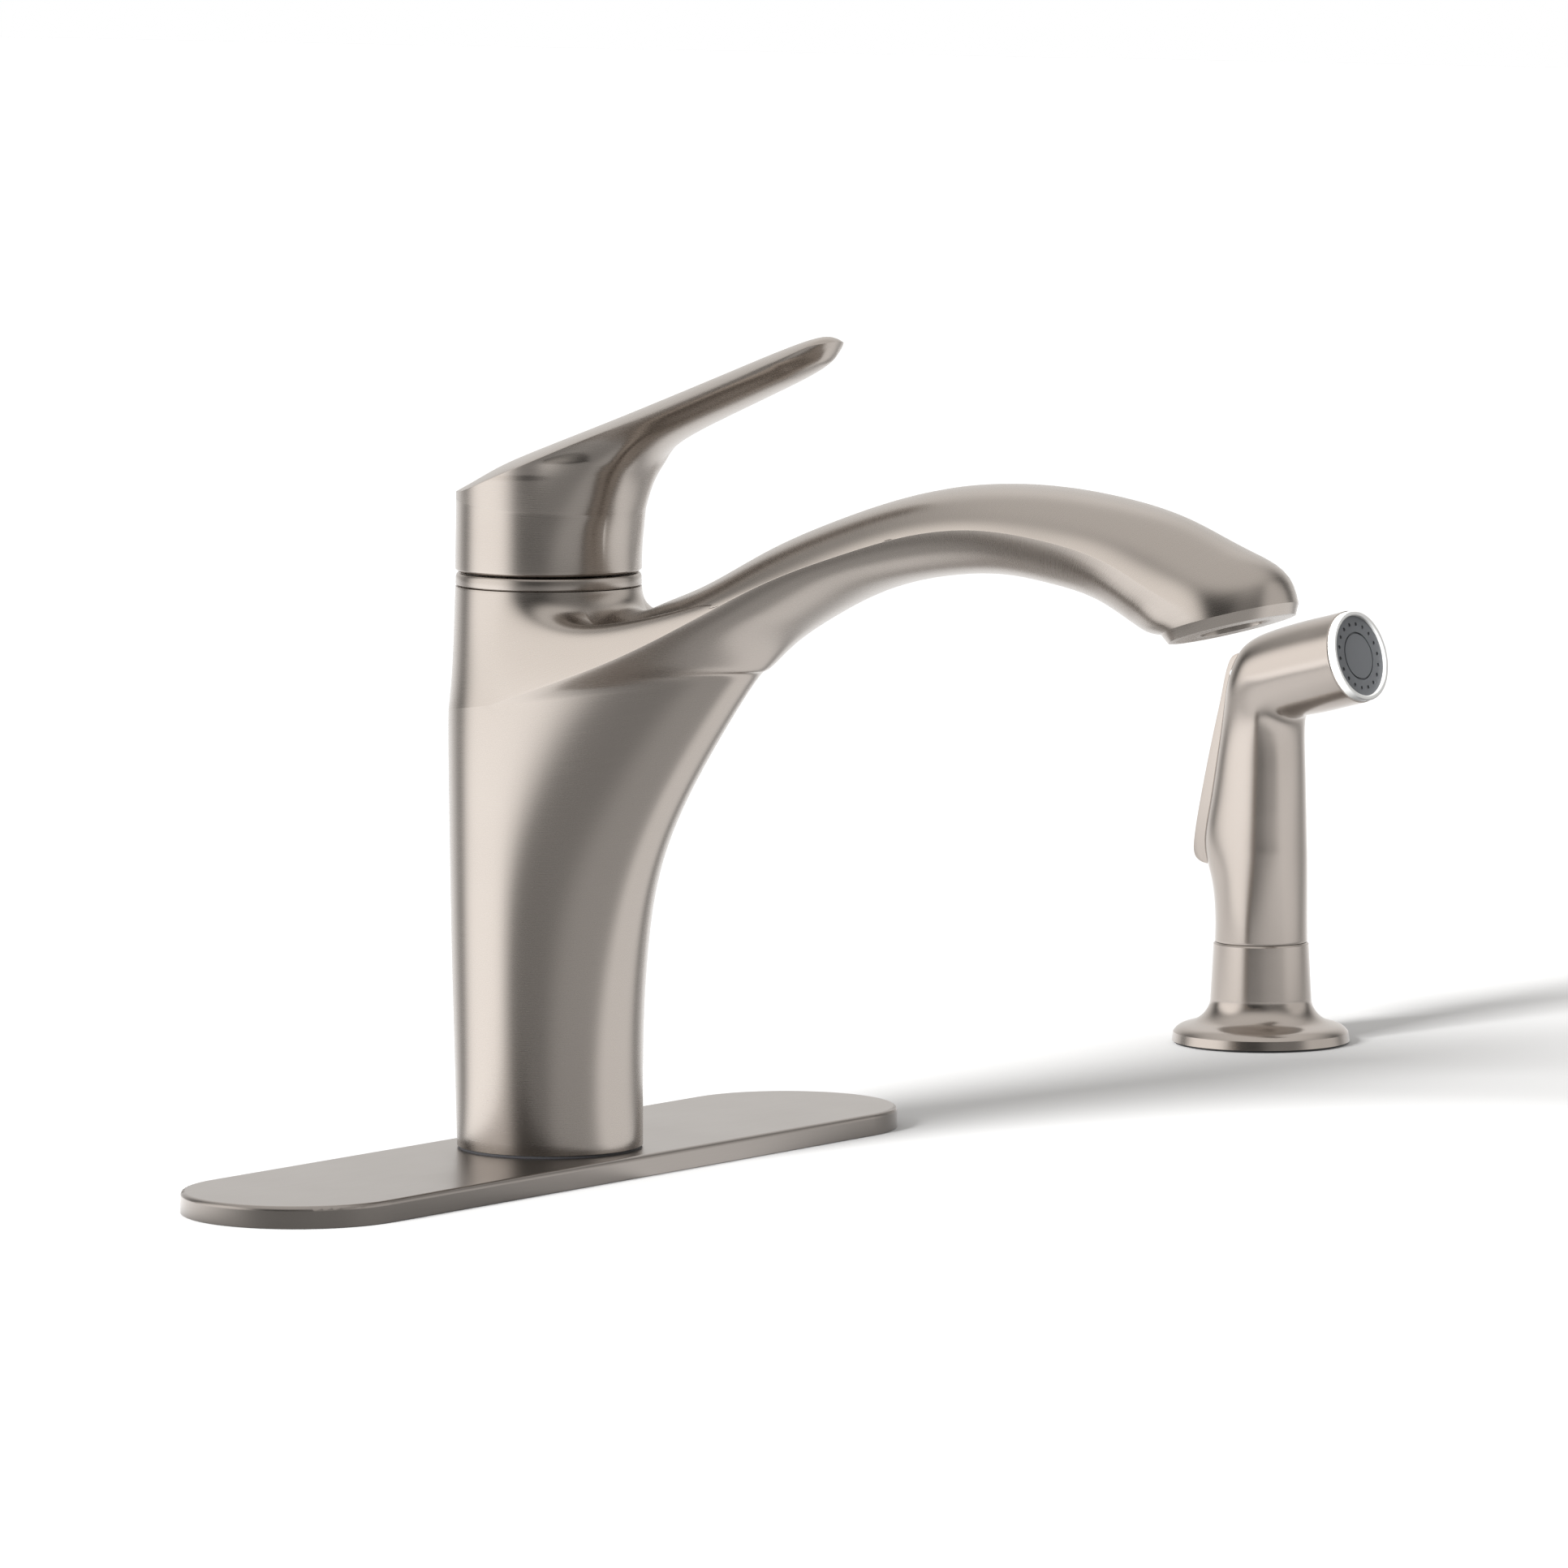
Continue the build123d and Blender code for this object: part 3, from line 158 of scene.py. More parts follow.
# ================================================================ meshes
@dataclass
class Skin:
    """Grids of points in millimetres, gathered into one closed and welded mesh."""

    name: str
    points: list[Array] = field(default_factory=list)
    layouts: list[Array] = field(default_factory=list)
    faces: list[Array] = field(default_factory=list)
    groups: list[Array] = field(default_factory=list)
    names: list[str] = field(default_factory=list)
    total: int = 0

    def grid(self, group: str, points: Array) -> None:
        """Adds an (m, n, 3) grid, one quad for each cell.

        Args:
            group: name of the surface, for edges that stay sharp between two surfaces.
            points: grid of points.
        """
        m, n = points.shape[:2]
        layout = self.measured(points)
        index = self.total + np.arange(m * n).reshape(m, n)
        quads = np.stack([index[:-1, :-1], index[:-1, 1:], index[1:, 1:], index[1:, :-1]], axis=-1)
        self.points.append(points.reshape(-1, 3))
        self.layouts.append(layout.reshape(-1, 2))
        self.faces.append(quads.reshape(-1, 4))
        if group not in self.names:
            self.names.append(group)
        self.groups.append(np.full((m - 1) * (n - 1), self.names.index(group)))
        self.total += m * n

    def mirrored(self, group: str, points: Array, middle: float = 0.0) -> None:
        """Adds a grid and its mirror image in the plane x = middle."""
        other = points.copy()
        other[..., 0] = 2.0 * middle - other[..., 0]
        self.grid(group, points)
        self.grid(group, other)

    @staticmethod
    def measured(points: Array) -> Array:
        """Surface coordinates: mean running length down the rows, and along each row."""
        along = np.linalg.norm(np.diff(points, axis=0), axis=-1).mean(axis=1)
        across = np.linalg.norm(np.diff(points, axis=1), axis=-1).mean(axis=0)
        u = np.concatenate([[0.0], np.cumsum(along)])
        v = np.concatenate([[0.0], np.cumsum(across)])
        v = v - v[-1] / 2.0
        return np.stack(np.meshgrid(u, v, indexing="ij"), axis=-1)

    def build(self, sharp: list[tuple[str, str, float]] = ()) -> bpy.types.Object:
        """Welds the grids, turns the faces outwards and rounds the named edges.

        Args:
            sharp: pairs of surfaces with the radius of the edge between them, in millimetres.

        Returns:
            The new object, at the origin.
        """
        points = np.concatenate(self.points) * MM
        faces = np.concatenate(self.faces)
        mesh = bpy.data.meshes.new(self.name)
        mesh.from_pydata(points.tolist(), [], faces.tolist())
        layout = mesh.uv_layers.new(name="surface")
        values = (np.concatenate(self.layouts) * MM)[faces.ravel()]
        layout.data.foreach_set("uv", values.ravel().astype(np.float32))
        marks = mesh.attributes.new("surface_group", "INT", "FACE")
        marks.data.foreach_set("value", np.concatenate(self.groups).astype(np.int32))
        widest = self.finish(mesh, sharp)
        thing = bpy.data.objects.new(self.name, mesh)
        bpy.context.scene.collection.objects.link(thing)
        if widest > 0.0:
            edge = thing.modifiers.new("rounded_edges", "BEVEL")
            edge.limit_method = "WEIGHT"
            edge.width = widest * MM
            edge.segments = 3
            edge.harden_normals = False
        log.info("%s: %d faces", self.name, len(mesh.polygons))
        return thing

    def finish(self, mesh: bpy.types.Mesh, sharp: list[tuple[str, str, float]]) -> float:
        """Welds, recalculates the normals and weights the edges between named surfaces.

        Args:
            mesh: the mesh, which is changed in place.
            sharp: as in build.

        Returns:
            The widest radius among the rounded edges, in millimetres.
        """
        shape = bmesh.new()
        shape.from_mesh(mesh)
        bmesh.ops.remove_doubles(shape, verts=shape.verts, dist=WELD)
        bmesh.ops.dissolve_degenerate(shape, edges=shape.edges, dist=WELD)
        bmesh.ops.recalc_face_normals(shape, faces=shape.faces)
        marks = shape.faces.layers.int["surface_group"]
        weight = shape.edges.layers.float.new("bevel_weight_edge")
        widest = max([radius for _, _, radius in sharp], default=0.0)
        radii = {
            frozenset((self.names.index(a), self.names.index(b))): radius
            for a, b, radius in sharp
        }
        for face in shape.faces:
            face.smooth = True
        for edge in shape.edges:
            pair = frozenset(face[marks] for face in edge.link_faces)
            if pair not in radii or len(pair) < 2:
                continue
            if radii[pair] > 0.0:
                edge[weight] = radii[pair] / widest
            else:
                edge.smooth = False
        open_edges = sum(1 for edge in shape.edges if len(edge.link_faces) != 2)
        if open_edges:
            log.warning("%s has %d open edges", self.name, open_edges)
        shape.to_mesh(mesh)
        shape.free()
        return widest


# ================================================================ finishes
class Grain(Enum):
    """Which way the brush lines of a metal run."""

    ROUND = "round the piece, on its own surface coordinates"
    LEVEL = "in level rings"
    LENGTH = "along X"
    NONE = "no brush lines"


class Shader:
    """A small hand for building a material's nodes."""

    def __init__(self, name: str) -> None:
        """Makes a new material of this name and keeps its nodes at hand."""
        self.material = bpy.data.materials.new(name)
        self.material.use_nodes = True
        self.nodes = self.material.node_tree.nodes
        self.links = self.material.node_tree.links
        self.surface = self.nodes["Principled BSDF"]

    def add(self, kind: str, **sockets: object) -> bpy.types.Node:
        """Adds a node and sets or links its inputs by name.

        Args:
            kind: the node's type.
            sockets: input name, with _ for a space, to a value or an output socket.
        """
        node = self.nodes.new(kind)
        for name, value in sockets.items():
            self.feed(node, name.replace("_", " "), value)
        return node

    def feed(self, node: bpy.types.Node, name: str, value: object) -> None:
        """Links an output to an input, or writes a plain value on it."""
        if isinstance(value, Socket):
            self.links.new(value, node.inputs[name])
        else:
            node.inputs[name].default_value = value

    def stretched(self, vector: Socket, scale: tuple[float, float, float]) -> Socket:
        """The vector times a scale, as an output socket."""
        mapping = self.add("ShaderNodeMapping", Vector=vector, Scale=scale)
        return mapping.outputs["Vector"]

    def noise(self, vector: Socket, scale: float, detail: float = 2.0) -> Socket:
        """Noise from 0 to 1, as an output socket."""
        texture = self.add("ShaderNodeTexNoise", Vector=vector, Scale=scale, Detail=detail)
        return texture.outputs["Fac"]

    def ramp(self, value: Socket, low: float, high: float) -> Socket:
        """The value carried from 0..1 to low..high, as an output socket."""
        span = self.add("ShaderNodeMapRange", Value=value, To_Min=low, To_Max=high)
        return span.outputs["Result"]

    def tint(self, value: Socket, first: tuple, second: tuple) -> Socket:
        """A colour between two by a value, as an output socket."""
        mix = self.nodes.new("ShaderNodeMix")
        mix.data_type = "RGBA"
        self.links.new(value, mix.inputs["Factor"])
        mix.inputs[6].default_value = (*first, 1.0)
        mix.inputs[7].default_value = (*second, 1.0)
        return mix.outputs[2]

    def bump(self, height: Socket, depth: float) -> Socket:
        """A bump of the given depth in metres, as a normal output."""
        node = self.add("ShaderNodeBump", Height=height, Distance=depth, Strength=1.0)
        return node.outputs["Normal"]


@dataclass(frozen=True)
class Metal:
    """Metal with fine brush lines, a little smudging and soft wear in its roughness.

    Attributes:
        name: the finish's name.
        colour: linear base colour.
        rough: middle roughness.
        grain: direction of the brush lines.
        line: width of a brush line in millimetres.
        stroke: length of a brush line in millimetres.
        depth: depth of the brush lines in millimetres.
    """

    name: str
    colour: tuple[float, float, float]
    rough: float
    grain: Grain = Grain.NONE
    line: float = 0.30
    stroke: float = 9.0
    depth: float = 0.004
    anisotropy: float = 0.0

    def make(self) -> bpy.types.Material:
        """Builds the material.

        Returns:
            The new material, on Object or surface coordinates.
        """
        shader = Shader(self.name)
        place = shader.nodes.new("ShaderNodeTexCoord")
        across = 1.0 / (self.line * MM)
        along = 1.0 / (self.stroke * MM)
        scales = {
            Grain.ROUND: (across, along, along),
            Grain.LEVEL: (along, along, across),
            Grain.LENGTH: (along, across, across),
            Grain.NONE: (across, across, across),
        }
        on_surface = self.grain is Grain.ROUND
        source = place.outputs["UV"] if on_surface else place.outputs["Object"]
        lines = shader.noise(shader.stretched(source, scales[self.grain]), 1.0, 3.0)
        cloud = shader.noise(place.outputs["Object"], 38.0, 4.0)
        light = tuple(min(1.0, c * 1.035) for c in self.colour)
        dark = tuple(c * 0.965 for c in self.colour)
        shader.feed(shader.surface, "Base Color", shader.tint(lines, dark, light))
        shader.surface.inputs["Metallic"].default_value = 1.0
        streak = shader.ramp(lines, self.rough - 0.035, self.rough + 0.035)
        smudge = shader.ramp(cloud, -0.03, 0.03)
        total = shader.nodes.new("ShaderNodeMath")
        shader.links.new(streak, total.inputs[0])
        shader.links.new(smudge, total.inputs[1])
        shader.feed(shader.surface, "Roughness", total.outputs["Value"])
        shader.feed(shader.surface, "Normal", shader.bump(lines, self.depth * MM))
        if self.anisotropy and on_surface:
            shader.surface.inputs["Anisotropic"].default_value = self.anisotropy
            direction = shader.nodes.new("ShaderNodeTangent")
            direction.direction_type = "UV_MAP"
            shader.feed(shader.surface, "Tangent", direction.outputs["Tangent"])
        return shader.material


@dataclass(frozen=True)
class Plastic:
    """Moulded plastic or rubber with a fine skin.

    Attributes:
        name: the finish's name.
        colour: linear base colour.
        rough: middle roughness.
        grain_size: size of the skin's grain in millimetres.
        depth: depth of the grain in millimetres.
    """

    name: str
    colour: tuple[float, float, float]
    rough: float
    grain_size: float = 0.35
    depth: float = 0.01

    def make(self) -> bpy.types.Material:
        """Builds the material.

        Returns:
            The new material, on Object or surface coordinates.
        """
        shader = Shader(self.name)
        place = shader.nodes.new("ShaderNodeTexCoord").outputs["Object"]
        skin = shader.noise(place, 1.0 / (self.grain_size * MM), 2.0)
        cloud = shader.noise(place, 60.0, 3.0)
        light = tuple(min(1.0, c * 1.08) for c in self.colour)
        dark = tuple(c * 0.92 for c in self.colour)
        shader.feed(shader.surface, "Base Color", shader.tint(cloud, dark, light))
        rough = shader.ramp(skin, self.rough - 0.05, self.rough + 0.05)
        shader.feed(shader.surface, "Roughness", rough)
        shader.feed(shader.surface, "Normal", shader.bump(skin, self.depth * MM))
        return shader.material


NICKEL = (0.425, 0.385, 0.352)
CAST_NICKEL = Metal("cast_brushed_nickel", NICKEL, 0.27, Grain.ROUND, 0.32, 9.0, 0.0035, 0.35)
LEVEL_NICKEL = Metal("ring_brushed_nickel", NICKEL, 0.27, Grain.LEVEL, 0.32, 9.0, 0.003)
DECK_NICKEL = (0.335, 0.306, 0.284)
SATIN_NICKEL = (0.44, 0.397, 0.363)
PLATE_NICKEL = Metal("plate_brushed_nickel", DECK_NICKEL, 0.30, Grain.LENGTH, 0.30, 14.0, 0.003)
SPRAY_NICKEL = Metal("spray_satin_nickel", SATIN_NICKEL, 0.22, Grain.NONE, 0.5, 0.5, 0.0012)
MACHINED_BRASS = Metal("machined_brass", (0.70, 0.48, 0.20), 0.28, Grain.LEVEL, 0.25, 12.0, 0.004)
GROUND_STEEL = Metal("ground_steel", (0.56, 0.57, 0.58), 0.24, Grain.LEVEL, 0.2, 8.0, 0.002)
ZINC_STEEL = Metal("zinc_plated_steel", (0.62, 0.64, 0.66), 0.36, Grain.NONE, 1.2, 1.2, 0.004)
WHITE_RING = Plastic("bright_ring", (0.80, 0.80, 0.79), 0.30, 0.4, 0.004)
GREY_FACE = Plastic("grey_spray_face", (0.17, 0.18, 0.195), 0.45, 0.3, 0.008)
# dark moulded plastic; on base_ring it is painted shade, a dark ring standing in for the shadow in
# the seam under the body's foot
DARK_PLASTIC_AND_SEAM_SHADE = Plastic("dark_plastic_and_painted_seam_shade", (0.022, 0.022, 0.024), 0.5, 0.5, 0.02)
AERATOR_PLASTIC = Plastic("aerator_plastic", (0.012, 0.012, 0.013), 0.38, 0.4, 0.01)
PALE_PLASTIC = Plastic("pale_bearing_plastic", (0.72, 0.72, 0.70), 0.42, 0.4, 0.01)
BLACK_RUBBER = Plastic("black_rubber", (0.012, 0.012, 0.012), 0.62, 0.6, 0.02)


# ================================================================ body and spout
@dataclass
class BodyAndSpout:
    """The turning body with its arched spout: one cast shell.

    Each station is a plane section. Its top, side and under points lie in the side view as
    (reach, z above the foot), and it is made of Bezier quarters between them.
    """

    foot_z: float = 6.15
    foot_r: float = 24.1
    crease_r: float = 26.2
    crease_height: float = 112.45
    crease_front: tuple[float, float] = (66.0, 124.2)
    crease_share: float = 0.30
    top_r: float = 24.05
    top_z: float = 151.3
    bore_r: float = 20.5
    lip_r: float = 17.3
    mouth_r: float = 16.0
    mouth_reach: float = 214.4
    mouth_z: float = 151.05
    mouth_tilt: float = 16.0
    lip_drop: float = 2.6
    aerator_r: float = 8.05
    aerator_depth: float = 9.9
    column_rows: tuple = (
        ((-24.7, 26.0), (24.4, 26.0), 24.7, 0.50),
        ((-25.4, 56.0), (27.9, 56.0), 25.4, 0.475),
        ((-25.9, 85.0), (40.0, 88.0), 25.9, 0.40),
    )
    spout_rows: tuple = (
        ((8.0, 130.3), (70.4, 127.3), 24.9, 0.49),
        ((33.0, 140.1), (77.3, 133.6), 24.0, 0.53),
        ((56.3, 148.6), (90.8, 141.9), 23.0, 0.51),
        ((76.0, 158.4), (104.1, 147.8), 22.0, 0.53),
        ((100.5, 168.1), (118.4, 152.0), 20.9, 0.54),
        ((126.0, 175.2), (132.2, 154.3), 19.8, 0.50),
        ((152.0, 177.7), (147.0, 155.0), 18.8, 0.46),
        ((176.8, 176.0), (162.1, 153.3), 18.0, 0.46),
        ((199.6, 170.9), (177.2, 149.6), 17.5, 0.47),
        ((217.3, 164.1), (187.2, 144.7), 17.4, 0.49),
        ((228.4, 157.6), (193.4, 142.7), 17.4, 0.50),
    )
    dome_lean: float = 0.13
    keel_lean: float = 0.10
    low_pull: float = 0.45
    blend_side: float = 3.0  # station where the collar's blend leaves the side crease
    blend_top: float = 2.55  # station where it ends on the top line
    quarter: int = 17  # points along a Bezier quarter
    column_points: int = 44  # rows of the column, and of the collar's blend
    crease_points: int = 46  # points along the side crease under the blend
    arm_points: int = 96
    bore_depth: float = 60.0

    def stations(self) -> tuple[Array, Array, Array, Array]:
        """Side-view points of every station from the foot to the lip.

        Returns:
            Top, side and under points as (n, 2) arrays of (reach, z), and (n, 3) rows of half
            width, dome lean and keel lean.
        """
        foot = ((-self.foot_r, 0.0), (self.foot_r, 0.0), self.foot_r, 0.5)
        crease_back = (-self.crease_r, self.crease_height)
        crease = (crease_back, self.crease_front, self.crease_r, self.crease_share)
        lip_top, lip_under = self.lip_points()
        lip = (lip_top, lip_under, self.lip_r, 0.5)
        table = [foot, *self.column_rows, crease, *self.spout_rows, lip]
        top = np.array([r[0] for r in table], dtype=float)
        under = np.array([r[1] for r in table], dtype=float)
        half = np.array([r[2] for r in table], dtype=float)
        share = np.array([r[3] for r in table], dtype=float)[:, None]
        side = top + (under - top) * share
        lift = row(0.0, self.foot_z)
        last = len(self.spout_rows)
        number = np.arange(len(table)) - (len(self.column_rows) + 2)
        fade = np.clip(np.minimum(number / 3.0, (last - 1 - number) / 3.0), 0.0, 1.0)
        width = np.stack([half, self.dome_lean * fade, self.keel_lean * fade], axis=-1)
        return top + lift, side + lift, under + lift, width

    def lip_points(self) -> tuple[tuple[float, float], tuple[float, float]]:
        """Top and under points of the lip, above the foot: its centre plus and minus its radius
        along the tilted end plane."""
        tilt = np.radians(self.mouth_tilt)
        centre_reach = self.mouth_reach - self.lip_drop * np.sin(tilt)
        centre_z = self.mouth_z - self.foot_z + self.lip_drop * np.cos(tilt)
        out_reach = self.lip_r * np.cos(tilt)
        out_z = self.lip_r * np.sin(tilt)
        top = (centre_reach + out_reach, centre_z + out_z)
        return top, (centre_reach - out_reach, centre_z - out_z)

    def upper(self, side: Array, top: Array, width: Array, t: Array) -> Array:
        """Upper quarter from the side crease (t = 0) to the top point (t = 1), right-hand half."""
        up = top - side
        half, lean = width[:, 0], width[:, 1]
        zero = np.zeros_like(half)
        a = space(half, side[:, 0], side[:, 1])
        b_point = side + up * CIRCLE_PULL
        b = space(half * (1.0 - lean), b_point[:, 0], b_point[:, 1])
        c = space(half * CIRCLE_PULL, top[:, 0], top[:, 1])
        d = space(zero, top[:, 0], top[:, 1])
        return bezier([a, b, c, d], t)

    def lower(self, side: Array, under: Array, width: Array, pull: Array, t: Array) -> Array:
        """Lower quarter from the side crease (t = 0) to the under point (t = 1)."""
        down = under - side
        half, keel = width[:, 0], width[:, 2]
        zero = np.zeros_like(half)
        a = space(half, side[:, 0], side[:, 1])
        b_point = side + down * pull[:, None]
        b = space(half * (1.0 - keel), b_point[:, 0], b_point[:, 1])
        c = space(half * pull, under[:, 0], under[:, 1])
        d = space(zero, under[:, 0], under[:, 1])
        return bezier([a, b, c, d], t)

    def read(self, knots: Array, at: Array, last_column: int) -> tuple[Array, ...]:
        """Reads every track at parameters along the stations.

        The under line and the widths run on one spline from foot to lip. The side and the top
        lines turn sharply at the crease station, so each has a spline on either side of it.

        Args:
            knots: parameter of every station.
            at: (m,) parameters to read.
            last_column: index of the crease station.

        Returns:
            top, side, under (m, 2), width (m, 3) and lower handle length (m,).
        """
        top, side, under, width = self.stations()
        crease = last_column
        beyond = at > knots[crease]
        under_at = spline(knots, under, at)
        width_at = spline(knots, width, at)
        width_at[:, 1:] = np.maximum(width_at[:, 1:], 0.0)
        low = slice(0, crease + 1)
        high = slice(crease, None)
        side_at = np.where(
            beyond[:, None],
            spline(knots[high], side[high], np.maximum(at, knots[crease])),
            spline(knots[low], side[low], np.minimum(at, knots[crease])),
        )
        first_top = slice(crease + 1, None)
        top_at = np.where(
            beyond[:, None],
            spline(knots[first_top], top[first_top], np.maximum(at, knots[crease + 1])),
            spline(knots[low], top[low], np.minimum(at, knots[crease])),
        )
        bulge = smooth_step((at - knots[0]) / (knots[crease] - knots[0]) * 1.4)
        round_again = smooth_step((at - knots[-3]) / (knots[-1] - knots[-3]))
        pull = CIRCLE_PULL + (self.low_pull - CIRCLE_PULL) * bulge * (1.0 - round_again)
        return top_at, side_at, under_at, width_at, pull

    def dome(self, knots: Array, crease: int, at: Array, t: Array) -> Array:
        """Points of the dome at paired parameters along the spout and up the section."""
        top, side, _, width, _ = self.read(knots, at, crease)
        pair = np.arange(len(at))
        return self.upper(side, top, width, t)[pair, pair]

    def blend_edge(self, knots: Array, crease: int) -> tuple[Array, Array]:
        """Where the collar's blend ends on the dome, as parameters along and up.

        It follows the side crease (t = 0), and then crosses the dome on the curve
        t = q^2, v = v0 + (v1 - v0)(2q - q^2), which leaves the crease along it and meets
        the top line square.
        """
        whole = np.arange(len(knots)) - crease
        first = np.interp(self.blend_side, whole, knots)
        last = np.interp(self.blend_top, whole, knots)
        along = np.linspace(knots[crease] + 1e-6, first, self.crease_points)
        q = np.linspace(0.0, 1.0, self.quarter)
        across = first + (last - first) * (2.0 * q - q**2)
        at = np.concatenate([along, across[1:]])
        return at, np.concatenate([np.zeros(self.crease_points), q[1:] ** 2])

    def collar_blend(self, knots: Array, crease: int, side_line: Array, arc: Array) -> Array:
        """Skin between the collar's top ring and the dome, as Hermite rows.

        Each row leaves the top ring straight down. Along the back and side crease it arrives
        square to the crease and tangent to the dome, and it turns until on the top line it
        arrives along the spout.

        Args:
            knots: parameter of every station.
            crease: index of the crease station.
            side_line: points of the side crease under the blend.
            arc: back half of the crease section, from the back to the side.

        Returns:
            (rows, columns, 3) grid for the right-hand half, from the back to the front.
        """
        at, t = self.blend_edge(knots, crease)
        edge = self.dome(knots, crease, at, t)
        edge[: len(side_line)] = side_line
        small = 0.4
        ahead = unit(self.dome(knots, crease, at + small, t) - self.dome(knots, crease, at, t))
        higher = self.dome(knots, crease, at, np.minimum(t + 0.02, 1.0))
        lower = self.dome(knots, crease, at, np.minimum(t + 0.02, 1.0) - 0.02)
        rise = higher - lower
        rise = unit(rise - ahead * np.sum(rise * ahead, axis=1, keepdims=True))
        share = np.linspace(0.0, 1.0, len(at))[:, None]
        turn = np.pi / 2 * share**1.3
        arrive = ahead * np.sin(turn) - rise * np.cos(turn)
        outward = unit(arc * row(1.0, 1.0, 0.0))
        arrive_back = unit(outward * 0.13 + row(0.0, 0.0, -1.0))
        end = np.concatenate([arc, edge[1:]])
        arrive = np.concatenate([arrive_back, arrive[1:]])
        back_turn = np.arctan2(arc[:, 0], -arc[:, 1])
        walk = chord_lengths(edge) / chord_lengths(edge)[-1]
        front_turn = back_turn[-1] * (1.0 - walk)
        azimuth = np.concatenate([back_turn, front_turn[1:]])
        start = space(self.top_r * np.sin(azimuth), self.top_r * np.cos(azimuth), self.top_z)
        radial = space(np.sin(azimuth), np.cos(azimuth), 0.0)
        span = np.linalg.norm(end - start, axis=1)[:, None]
        near_front = smooth_step(1.0 - azimuth / back_turn[-1])[:, None]
        leave = (radial * 0.045 + row(0.0, 0.0, -1.0)) * span * (1.0 + 0.22 * near_front)
        arrive = self.softened(arrive) * span * (1.0 + 0.30 * near_front)
        arrive[-1, 0] = 0.0
        return hermite(start, end, leave, arrive, np.linspace(0.0, 1.0, self.column_points))

    @staticmethod
    def softened(directions: Array) -> Array:
        """Directions averaged with their neighbours and scaled to 1."""
        kernel = np.hanning(9)[1:-1]
        kernel /= kernel.sum()
        reach = len(kernel) // 2
        padded = np.pad(directions, ((reach, reach), (0, 0)), mode="edge")
        mean = np.stack([np.convolve(padded[:, k], kernel, mode="valid") for k in range(3)], -1)
        return unit(mean)

    @staticmethod
    def settled(rows: Array, before: Array) -> Array:
        """Rows that go on from the rows before them without a kink.

        The first step D of the rows loses its part along the normal N of the rows before:
        each point moves by -(D.N) N h(v), with h = v (1 - v)^2 times the number of rows.

        Args:
            rows: (m, n, 3) grid whose first row is the shared one.
            before: the last two rows of the neighbouring grid, the shared one last.

        Returns:
            The moved grid, with its first and last row as they were.
        """
        along = np.gradient(before[1], axis=0)
        normal = unit(np.cross(along, before[1] - before[0]))
        step = rows[1] - rows[0]
        error = np.sum(step * normal, axis=1, keepdims=True) * normal
        error[0] = 0.0
        error[-1] = 0.0
        v = np.linspace(0.0, 1.0, len(rows))[:, None, None]
        return rows - error * v * (1.0 - v) ** 2 * (len(rows) - 1)

    def skin(self) -> bpy.types.Object:
        """Builds the whole shell.

        Returns:
            The new object.
        """
        _, side, under, _ = self.stations()
        crease = len(self.column_rows) + 1
        knots = chord_lengths((under + side) / 2.0)
        t = np.linspace(0.0, 1.0, self.quarter)
        skin = Skin("spout_shell")
        # column: full rings from the foot to the crease
        at = np.linspace(knots[0], knots[crease], self.column_points)
        at[-1] -= 1e-9
        tops, sides, unders, widths, pull = self.read(knots, at, crease)
        high = self.upper(sides, tops, widths, t)[:, ::-1]
        low = self.lower(sides, unders, widths, pull, t)
        skin.mirrored("column", np.concatenate([high, low[:, 1:]], axis=1))
        foot_row = np.concatenate([high[0], low[0][1:]])
        # under side of the spout's root
        edge_at, _ = self.blend_edge(knots, crease)
        at = edge_at[: self.crease_points]
        _, sides, unders, widths, pull = self.read(knots, at, crease)
        root = self.lower(sides, unders, widths, pull, t)
        root[0] = low[-1]
        root = self.settled(root, low[-2:])
        skin.mirrored("under", root)
        # blend from the collar
        blend = self.collar_blend(knots, crease, root[:, 0], high[-1])
        blend[:, 0, 0] = 0.0
        skin.mirrored("collar", blend)
        # arm: the dome from the blend's edge, and the keel under it, to the lip
        rows = self.arm_points
        reach = np.linspace(0.0, 1.0, rows)
        edge_v = edge_at[self.crease_points - 1 :]
        edge_t = np.linspace(0.0, 1.0, self.quarter) ** 2
        grid_v = edge_v[None, :] + (knots[-1] - edge_v)[None, :] * reach[:, None]
        tops, sides, _, widths, _ = self.read(knots, grid_v.ravel(), crease)
        pick = np.arange(grid_v.size)
        column = np.tile(np.arange(self.quarter), rows)
        high_arm = self.upper(sides, tops, widths, edge_t)[pick, column]
        high_arm = high_arm.reshape(rows, self.quarter, 3)
        _, sides, unders, widths, pull = self.read(knots, grid_v[:, 0], crease)
        low_arm = self.lower(sides, unders, widths, pull, t)
        low_arm[0] = root[-1]
        high_arm[0] = blend[-1, self.quarter + self.crease_points - 2 :]
        high_arm[:, 0] = low_arm[:, 0]
        skin.mirrored("dome", high_arm)
        skin.mirrored("keel", low_arm)
        self.mouth(skin, np.concatenate([high_arm[-1][::-1], low_arm[-1][1:]]))
        self.inside(skin, foot_row, blend[0])
        return skin.build([
            ("collar", "column", 0.0),
            ("collar", "under", 0.7),
            ("dome", "keel", 0.7),
            ("lip", "dome", 0.35),
            ("lip", "keel", 0.35),
            ("mouth", "lip", 0.35),
            ("mouth", "aerator_bore", 0.3),
            ("top_rim", "collar", 0.3),
            ("foot_rim", "column", 0.3),
        ])

    def mouth(self, skin: Skin, lip_half: Array) -> None:
        """Chamfer, flat end face and aerator bore, as rings in the tilted end plane.

        Args:
            skin: the shell that takes the surfaces.
            lip_half: half ring of the lip, from the top point to the under point.
        """
        tilt = np.radians(self.mouth_tilt)
        centre = row(0.0, -self.mouth_reach, self.mouth_z)
        out = row(0.0, -np.sin(tilt), -np.cos(tilt))
        lip_centre = centre - out * self.lip_drop
        spoke = unit(lip_half - lip_centre)

